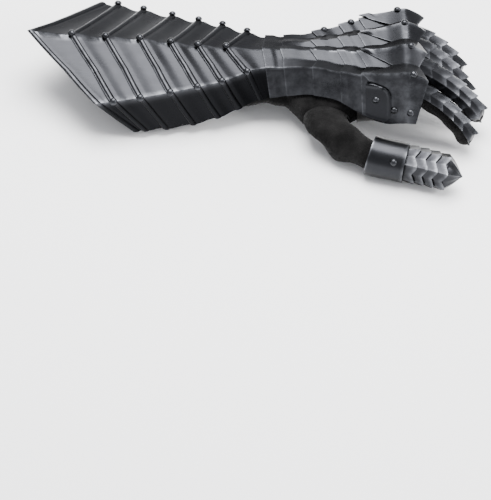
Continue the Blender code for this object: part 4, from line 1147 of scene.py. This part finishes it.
def leather_material(name, colour, patch, sheen, rough, relief, rim, gleam):
    """Leather or suede: patches of its colour, a soft sheen and a napped or grained surface."""
    if name in bpy.data.materials:
        return bpy.data.materials[name]
    material, tree, shader = new_material(name)
    node = place_group(tree, "leather_nap", nap_group, {"Patch Scale": patch})
    clouds = map_node(tree, node.outputs["Patch"], (0.38, 0.62))
    toned = mix_colour(tree, clouds, shade(colour, 0.25), shade(colour, 3.0))
    toned = mix_colour(tree, math_node(tree, "MULTIPLY", node.outputs["Fibre"], 0.5), toned,
                       shade(colour, 2.6))
    if rim:
        wear = tree.nodes.new("ShaderNodeAttribute")
        wear.attribute_name = "wear"
        toned = mix_colour(tree, math_node(tree, "MULTIPLY", wear.outputs["Fac"], 0.7), toned,
                           shade(colour, rim))
    tree.links.new(toned, shader.inputs["Base Color"])
    tree.links.new(map_node(tree, node.outputs["Patch"], (0.0, 1.0), rough), shader.inputs["Roughness"])
    shader.inputs["Sheen Weight"].default_value = sheen
    shader.inputs["Sheen Roughness"].default_value = 0.35
    shader.inputs["Specular IOR Level"].default_value = gleam
    bump(tree, shader, node.outputs["Relief"], relief, LEATHER_RELIEF)
    return material


def steel():
    """Blackened steel and its slot in the record."""
    sizes = bpy.context.scene.gauntlet
    return metal_material("plate_finish", sizes.steel_colour, sizes.worn_and_painted_light_colour, 0.75, (0.22, 0.40),
                          22.0, 0.12), "blackened_steel"


def suede():
    """Black suede and its slot."""
    sizes = bpy.context.scene.gauntlet
    return leather_material("suede_finish", sizes.suede_colour, 52.0, 0.05, (0.85, 0.98), 1.0, None,
                            0.08), "suede"


def thread():
    """Seam thread, which takes the suede's slot."""
    sizes = bpy.context.scene.gauntlet
    return leather_material("thread_finish", shade(sizes.suede_colour, 6.0), 400.0, 0.0, (0.6, 0.8),
                            0.4, None, 0.2), "suede"


def strap_leather():
    """Dark strap leather with paler cut edges, and its slot."""
    sizes = bpy.context.scene.gauntlet
    return leather_material("strap_finish", sizes.strap_colour, 60.0, 0.05, (0.42, 0.62), 0.35, 1.8,
                            0.35), "strap_leather"


def silver():
    """Silver of the buckle and the disc rivet, and its slot."""
    sizes = bpy.context.scene.gauntlet
    return metal_material("silver_finish", sizes.silver_colour, (0.85, 0.85, 0.85), 0.5, (0.16, 0.32),
                          90.0, 0.12), "silver"


# User sizes and colours

def a_length(label, text, default):
    """A length that the user can set."""
    return FloatProperty(name=label, description=text, default=default, unit="LENGTH")


def a_colour(label, text, default):
    """A colour that the user can set."""
    return FloatVectorProperty(name=label, description=text, default=default, subtype="COLOR", size=3)


class GauntletSizes(bpy.types.PropertyGroup):
    """Sizes and colours of the gauntlet's finish."""

    bead_height: a_length("Bead Height", "Height of the half-round bead along each cuff lame's edge", 0.0015)
    bead_width: a_length("Bead Width", "Width of the bead along each cuff lame's edge", 0.0048)
    border_width: a_length("Border Width", "Width of the rolled border round the elbow edge", 0.0060)
    hollow: a_length("Plate Hollow", "How far a cuff lame is dished between its bead and its end", 0.0007)
    scale_lift: a_length("Scale Lift", "How far each scale's free edge stands off the next one", 0.0024)
    facet_hollow: a_length("Facet Hollow", "How far each facet of a finger scale is dished", 0.0002)
    rivet_radius: a_length("Rivet Radius", "Radius of the domed rivet heads", 0.0033)
    rivet_height: a_length("Rivet Height", "Height of the domed rivet heads", 0.0027)
    glove_fold: a_length("Glove Folds", "Depth of the soft folds in the glove", 0.0010)
    strap_holes: IntProperty(
        name="Strap Holes", description="Number of prong holes in the long strap", default=5)
    steel_colour: a_colour("Steel", "Colour of the blackened steel", (0.0190, 0.0195, 0.0215))
    # Also the colour of the painted light on the hand's side walls, tabs and knuckle sides
    worn_and_painted_light_colour: a_colour("Worn Steel", "Colour where ridges and edges are rubbed bright",
                          (0.16, 0.165, 0.18))
    suede_colour: a_colour("Suede", "Colour of the suede glove", (0.0030, 0.0029, 0.0029))
    strap_colour: a_colour("Strap", "Colour of the strap leather", (0.022, 0.0215, 0.021))
    silver_colour: a_colour("Silver", "Colour of the buckle and the disc rivet", (0.60, 0.60, 0.59))
    floor_colour: a_colour("Floor", "Colour of the floor", (0.90, 0.90, 0.90))


# Operators

class GAUNTLET_OT_cuff(bpy.types.Operator):
    """Cuff and wrist lames with their beads, rolled border and rivets."""

    bl_idname = "gauntlet.cuff"
    bl_label = "Cuff Lames"

    def execute(self, context):
        column = fine_columns(6)
        edges = [edge_line(row, column) for row in EDGES]
        for index in range(WRIST_EDGE + 1):
            kind = "border" if index == 0 else "beaded" if index < WRIST_EDGE else "plain"
            parts = [lame(edges[index], edges[index + 1], kind, column)]
            if kind == "beaded":
                ridge_x = edge_line(EDGES[index], np.arange(LAST_COLUMN + 1))
                for ridge in (THUMB_CORNER, KEEL, FAR_CORNER):
                    spot = ridge_x[ridge] + BEAD_RIVET[0]
                    parts.append(rivet(*seat(spot, ridge, LAP_LEVEL + BEAD_RIVET[1])))
            node = f"cuff_plate_{index + 1}" if index < WRIST_EDGE else "wrist_plate"
            make_piece(node.replace("plate", "lame"), joined(parts), steel, node)
        return {"FINISHED"}


class GAUNTLET_OT_hand(bpy.types.Operator):
    """Fluted hand lames with their zigzag edges, side rivets and tabs."""

    bl_idname = "gauntlet.hand"
    bl_label = "Hand Lames"

    def execute(self, context):
        column = fine_columns(8)
        edges = [edge_line(row, column) for row in EDGES]
        for number in range(1, 5):
            index = WRIST_EDGE + number
            parts = [lame(edges[index], edges[index + 1], "plain", column)]
            spot = edge_line(EDGES[index], np.arange(LAST_COLUMN + 1)) + LAP_LENGTH + RAMP_LENGTH + HAND_RIVET
            if number in (2, 3):
                parts.append(rivet(*seat(spot[FAR_CORNER], FAR_CORNER, 0.0)))
            if number == 4:
                for corner, free in SIDES:
                    parts.append(side_tab(corner, free))
                    place = seat(spot[0], corner, KNUCKLE_LEVEL + TAB_THICKNESS, free, TAB_ROOT)
                    parts.append(rivet(*place))
            make_piece(f"hand_lame_{number}", joined(parts), steel, f"hand_plate_{number}")
        return {"FINISHED"}


class GAUNTLET_OT_knuckles(bpy.types.Operator):
    """Knuckle plate with its four tongues, crest, lip and rivets."""

    bl_idname = "gauntlet.knuckles"
    bl_label = "Knuckle Plate"

    def execute(self, context):
        parts = [knuckle_shell(fine_columns(9))]
        for ridge, along in KNUCKLE_RIVETS:
            parts.append(rivet(*seat(CUFF_LENGTH + along * HAND_LENGTH, ridge, KNUCKLE_LEVEL)))
        for corner, free in SIDES:
            for along, share in TAB_RIVETS:
                spot = CUFF_LENGTH + along * HAND_LENGTH
                parts.append(rivet(*seat(spot, corner, KNUCKLE_LEVEL, free, share)))
        make_piece("knuckle_cover", joined(parts), steel, "knuckle_plate")
        return {"FINISHED"}


class GAUNTLET_OT_scales(bpy.types.Operator):
    """Pointed scales along the four fingers."""

    bl_idname = "gauntlet.scales"
    bl_label = "Finger Scales"

    def execute(self, context):
        for row in FINGERS:
            name, reach, count = row[0], row[3], row[7]
            path = finger_path(row)
            pitch = (reach - TIP_COVER / 2 - FIRST_SCALE) / count
            bare = 1 if name == "index" else 0
            for index in range(count):
                begin = FIRST_SCALE + index * pitch
                tip = TIP_COVER if index == count - 1 else 0.0
                leaf = scale(path, begin, begin + pitch, tip, FINGER_HALF, FINGER_RIDGE, bare)
                make_piece(f"{name}_leaf_{index + 1}", leaf, steel, f"{name}_scale_{index + 1}", SCALE_SHARP)
        return {"FINISHED"}


def thumb_cover(path, begin, end):
    """Thumb's base plate: an arch round the path from begin to end, with a rolled front and a rivet."""
    length = path[0][-1]
    angle = np.radians(np.linspace(-THUMB_WRAP, THUMB_WRAP, 41))
    front = end + SCALE_LAP
    s = np.linspace(begin, front, 24)[:, None] * np.ones(len(angle))
    taper = 1.0 - FINGER_TAPER * s / length
    lift = THUMB_LEVEL + THUMB_ROLLED[0] * bell(s - front, THUMB_ROLLED[1])
    points = on_path(path, s, np.sin(angle) * (THUMB_HALF * taper + lift),
                     np.cos(angle) * (THUMB_RIDGE * taper + lift))
    wear = np.clip(bell(s - begin, KNUCKLE_WEAR) + bell(s - front, THUMB_WEAR), 0.0, 1.0)
    spot = end + THUMB_RIVET * (begin - end)
    place, _, up = along_path(path, np.array([spot]))
    head = place[0] + up[0] * (THUMB_RIDGE * (1.0 - FINGER_TAPER * spot / length) + THUMB_LEVEL)
    return joined([shell(points, PLATE, wear), rivet(head, up[0])])


class GAUNTLET_OT_thumb(bpy.types.Operator):
    """Thumb's base plate with its rivet, and its pointed scales."""

    bl_idname = "gauntlet.thumb"
    bl_label = "Thumb Steel"

    def execute(self, context):
        path = thumb_path(THUMB_ROLL)
        length = path[0][-1]
        begin, end = (share * length for share in THUMB_SPAN)
        make_piece("thumb_base", thumb_cover(path, begin, end), steel, "thumb_plate")
        first = end - SCALE_LAP / 2
        pitch = (length - first) / THUMB_SCALES
        for index in range(THUMB_SCALES):
            tip = THUMB_TIP_COVER if index == THUMB_SCALES - 1 else 0.0
            start = first + index * pitch
            leaf = scale(path, start, start + pitch, tip, THUMB_HALF, THUMB_RIDGE)
            make_piece(f"thumb_leaf_{index + 1}", leaf, steel, f"thumb_scale_{index + 1}", SCALE_SHARP)
        return {"FINISHED"}


class GAUNTLET_OT_glove(bpy.types.Operator):
    """Suede glove: body, stitched seams, four fingers and thumb."""

    bl_idname = "gauntlet.glove"
    bl_label = "Suede Glove"

    def execute(self, context):
        make_piece("suede_body", glove_body(), suede, "glove_body", SOFT_SHARP)
        outer, _, normals = glove_surface()
        hem, hem_normals = (np.concatenate([grid[HEM_ROW], grid[HEM_ROW, :1]]) for grid in (outer, normals))
        rows = [stitches(hem, hem_normals, *HEM_STITCH)]
        for column in SEAM_COLUMNS:
            for side in (column - 1, column + 1):
                rows.append(stitches(outer[SEAM_ROWS, side], normals[SEAM_ROWS, side], *SEAM_STITCH))
        make_piece("glove_stitching", joined(rows), thread, None, SOFT_SHARP)
        for row in FINGERS:
            tube = glove_finger(finger_path(row), FINGER_TUBE, FINGER_TUBE, 40, 64, FINGER_WRINKLE)
            make_piece(f"suede_{row[0]}", tube, suede, f"glove_{row[0]}", SOFT_SHARP)
        tube = glove_finger(thumb_path(0.0), THUMB_TUBE, THUMB_ROOT_FLAT, 64, 120, THUMB_WRINKLE, THUMB_SWELL)
        make_piece("suede_thumb", tube, suede, "glove_thumb", SOFT_SHARP)
        return {"FINISHED"}


class GAUNTLET_OT_straps(bpy.types.Operator):
    """Palm strap and the two cuff straps, with prong holes in the long one."""

    bl_idname = "gauntlet.straps"
    bl_label = "Straps"

    def execute(self, context):
        palm = [glove_ring(row)[PALM_POINTS] for row in GLOVE_SECTIONS[PALM_STRAP_ROWS]]
        palm = [line + off_line(line) * PALM_STRAP_GAP for line in palm]
        make_piece("palm_band", band(palm, PALM_STRAP_ALONG * WHOLE, PALM_STRAP_BEND, 90), strap_leather,
                   "palm_strap", STRAP_SHARP)
        lower = CUFF_STRAP_HEIGHT - STRAP_THICKNESS - STRAP_GAP
        long_lines, short_lines = [], []
        for edge in (CUFF_STRAP_X - STRAP_WIDTH / 2, CUFF_STRAP_X + STRAP_WIDTH / 2):
            side = strap_side(edge, -1.0, lower)
            long_lines.append(side + [(0.0, lower), (BUCKLE_ACROSS + STRAP_TAIL, lower)])
            side = strap_side(edge, 1.0, CUFF_STRAP_HEIGHT)
            short_lines.append([(BUCKLE_ACROSS - SHORT_STRAP_PAST, CUFF_STRAP_HEIGHT)] + side[::-1])
        strap = make_piece("long_band", band(long_lines, CUFF_STRAP_X, CUFF_STRAP_BEND, 110), strap_leather,
                           "cuff_strap", STRAP_SHARP)
        make_piece("short_band", band(short_lines, CUFF_STRAP_X, CUFF_STRAP_BEND, 70), strap_leather,
                   "buckle_strap", STRAP_SHARP)
        reach = STRAP_THICKNESS + STRAP_GAP
        drill = [(0.0, -reach), (STRAP_HOLE_RADIUS, -reach), (STRAP_HOLE_RADIUS, reach), (0.0, reach)]
        heads = []
        for index in range(context.scene.gauntlet.strap_holes):
            spot = np.array([CUFF_STRAP_X, BUCKLE_ACROSS + (index - 1) * STRAP_HOLE_PITCH,
                             lower - STRAP_THICKNESS / 2])
            heads.append(revolve(drill, 20, spot, (0.0, 0.0, 1.0)))
        cut_out(strap, joined(heads))
        return {"FINISHED"}


def disc_seat():
    """Place and direction of the disc rivet on the cuff's side wall, under the strap's end: the
    cross product of the wall's slope and of its run along the strap's width."""
    below = STRAP_RISE - DISC_RADIUS - STRAP_GAP
    spots = ((0.0, below - DISC_RADIUS), (0.0, below + DISC_RADIUS),
             (-STRAP_WIDTH / 2, below), (STRAP_WIDTH / 2, below))
    low, high, before, after = (
        np.array((CUFF_STRAP_X + shift, *wall_inside(CUFF_STRAP_X + shift, rise, -1.0)))
        for shift, rise in spots)
    normal = unit(np.cross(high - low, after - before))
    normal = normal if normal[1] > 0 else -normal
    return (low + high) / 2 + normal * STRAP_GAP, normal


class GAUNTLET_OT_hardware(bpy.types.Operator):
    """Silver buckle frame, prong and disc rivet."""

    bl_idname = "gauntlet.hardware"
    bl_label = "Buckle and Disc Rivet"

    def execute(self, context):
        level = CUFF_STRAP_HEIGHT - 2 * (STRAP_THICKNESS + STRAP_GAP) - BUCKLE_WIRE
        half = np.array(BUCKLE_SIZE) / 2 - BUCKLE_WIRE
        outline = rounded_box(half, BUCKLE_CORNER, 9) + (CUFF_STRAP_X, BUCKLE_ACROSS)
        loop = np.column_stack([outline, np.full(len(outline), level)])
        make_piece("buckle_loop", round_tube(loop, BUCKLE_WIRE, True), silver, "buckle_frame", SOFT_SHARP)
        reach = half[1] + BUCKLE_WIRE
        y = np.linspace(BUCKLE_ACROSS - reach, BUCKLE_ACROSS + reach, 24)
        low = level - 2 * BUCKLE_WIRE - STRAP_GAP
        line = np.column_stack([np.full(len(y), CUFF_STRAP_X), y, np.full(len(y), low)])
        make_piece("buckle_tongue", round_tube(line, BUCKLE_WIRE, False), silver, "buckle_prong", SOFT_SHARP)
        make_piece("disc_rivet", revolve(DISC_PROFILE, 32, *disc_seat()), silver, "strap_rivet", SOFT_SHARP)
        return {"FINISHED"}


class GAUNTLET_OT_stage(bpy.types.Operator):
    """Pale floor, soft studio lights and the camera."""

    bl_idname = "gauntlet.stage"
    bl_label = "Stage"

    def execute(self, context):
        make_floor(context.scene.gauntlet)
        make_lights()
        make_camera()
        return {"FINISHED"}


def make_floor(sizes):
    """Wide pale floor just under the gauntlet."""
    mesh = bpy.data.meshes.new("floor")
    corners = [(x * FLOOR_REACH, y * FLOOR_REACH, -FLOOR_GAP)
               for x, y in ((-1, -1), (1, -1), (1, 1), (-1, 1))]
    mesh.from_pydata(corners, [], [(0, 1, 2, 3)])
    material, _, shader = new_material("pale_floor")
    shader.inputs["Base Color"].default_value = tuple(sizes.floor_colour) + (1.0,)
    shader.inputs["Roughness"].default_value = 0.9
    mesh.materials.append(material)
    new_object("floor", mesh)


def set_axes(item, axes, place):
    """Turns an object so that its x, y and z point along three axes, and moves it to its place."""
    rows = [[*row, spot] for row, spot in zip(np.transpose(axes), place)]
    item.matrix_world = Matrix(rows + [[0, 0, 0, 1]])


FLOOR_REACH = 4.0
FLOOR_GAP = 0.0004
WORLD_COLOUR = (0.95, 0.96, 1.0, 1.0)
WORLD_STRENGTH = 1.15
LIGHTS = (
    # name, place, size, power, aim
    ("overhead", (-0.05, 0.24, 1.50), 1.20, 88.0, (0.0, 0.0, 0.0)),
    ("right", (1.40, -0.30, 0.90), 0.60, 20.0, (0.1, 0.0, 0.05)),
)


def make_lights():
    """Two soft lamps that face their aims, in an even pale world."""
    for name, place, size, power, aim in LIGHTS:
        lamp = bpy.data.lights.new(name, "AREA")
        lamp.size = size
        lamp.energy = power
        direction = unit(np.array(place) - np.array(aim))
        side = unit(np.cross([0.0, 0.0, 1.0], direction))
        set_axes(new_object(name, lamp), (side, np.cross(direction, side), direction), place)
    world = bpy.data.worlds.new("studio")
    world.use_nodes = True
    background = world.node_tree.nodes["Background"]
    background.inputs["Color"].default_value = WORLD_COLOUR
    background.inputs["Strength"].default_value = WORLD_STRENGTH
    bpy.context.scene.world = world


# Camera: aim in the hand frame, distance, and the height of the view there
CAMERA_AIM = (0.1916, -0.1165, -0.0615)
CAMERA_DISTANCE = 2.5
VIEW_HEIGHT = 0.444


def make_camera():
    """Long lens that looks at the hand frame from the thumb's side, 45 degrees up."""
    data = bpy.data.cameras.new("camera")
    data.sensor_fit = "VERTICAL"
    data.sensor_height = 36.0
    data.sensor_width = 36.0
    data.lens = data.sensor_height * CAMERA_DISTANCE / VIEW_HEIGHT
    data.clip_end = 20.0
    item = new_object("camera", data)
    half = math.sqrt(0.5)
    axes = np.array([(1.0, 0.0, 0.0), (0.0, half, half), (0.0, -half, half)])
    eye = np.array(CAMERA_AIM) + axes[2] * CAMERA_DISTANCE
    set_axes(item, lay(axes) - lay(np.zeros(3)), lay(eye))
    bpy.context.scene.camera = item


class GAUNTLET_PT_panel(bpy.types.Panel):
    """Lists the gauntlet's sizes and its pieces."""

    bl_label = "Gauntlet"
    bl_idname = "GAUNTLET_PT_panel"
    bl_space_type = "VIEW_3D"
    bl_region_type = "UI"
    bl_category = "Gauntlet"

    def draw(self, context):
        sizes = context.scene.gauntlet
        for name in GauntletSizes.__annotations__:
            self.layout.prop(sizes, name)
        for operator in OPERATORS:
            self.layout.operator(operator.bl_idname)


OPERATORS = (GAUNTLET_OT_stage, GAUNTLET_OT_cuff, GAUNTLET_OT_hand, GAUNTLET_OT_knuckles, GAUNTLET_OT_scales,
             GAUNTLET_OT_thumb, GAUNTLET_OT_glove, GAUNTLET_OT_straps, GAUNTLET_OT_hardware)
CLASSES = (GauntletSizes,) + OPERATORS + (GAUNTLET_PT_panel,)


def register():
    for item in CLASSES:
        bpy.utils.register_class(item)
    bpy.types.Scene.gauntlet = PointerProperty(type=GauntletSizes)


def unregister():
    del bpy.types.Scene.gauntlet
    for item in reversed(CLASSES):
        bpy.utils.unregister_class(item)


def main():
    register()
    bpy.ops.gauntlet.stage()
    bpy.ops.gauntlet.cuff()
    bpy.ops.gauntlet.hand()
    bpy.ops.gauntlet.knuckles()
    bpy.ops.gauntlet.scales()
    bpy.ops.gauntlet.thumb()
    bpy.ops.gauntlet.glove()
    bpy.ops.gauntlet.straps()
    bpy.ops.gauntlet.hardware()
    bpy.context.view_layer.update()


if __name__ == "__main__":
    main()
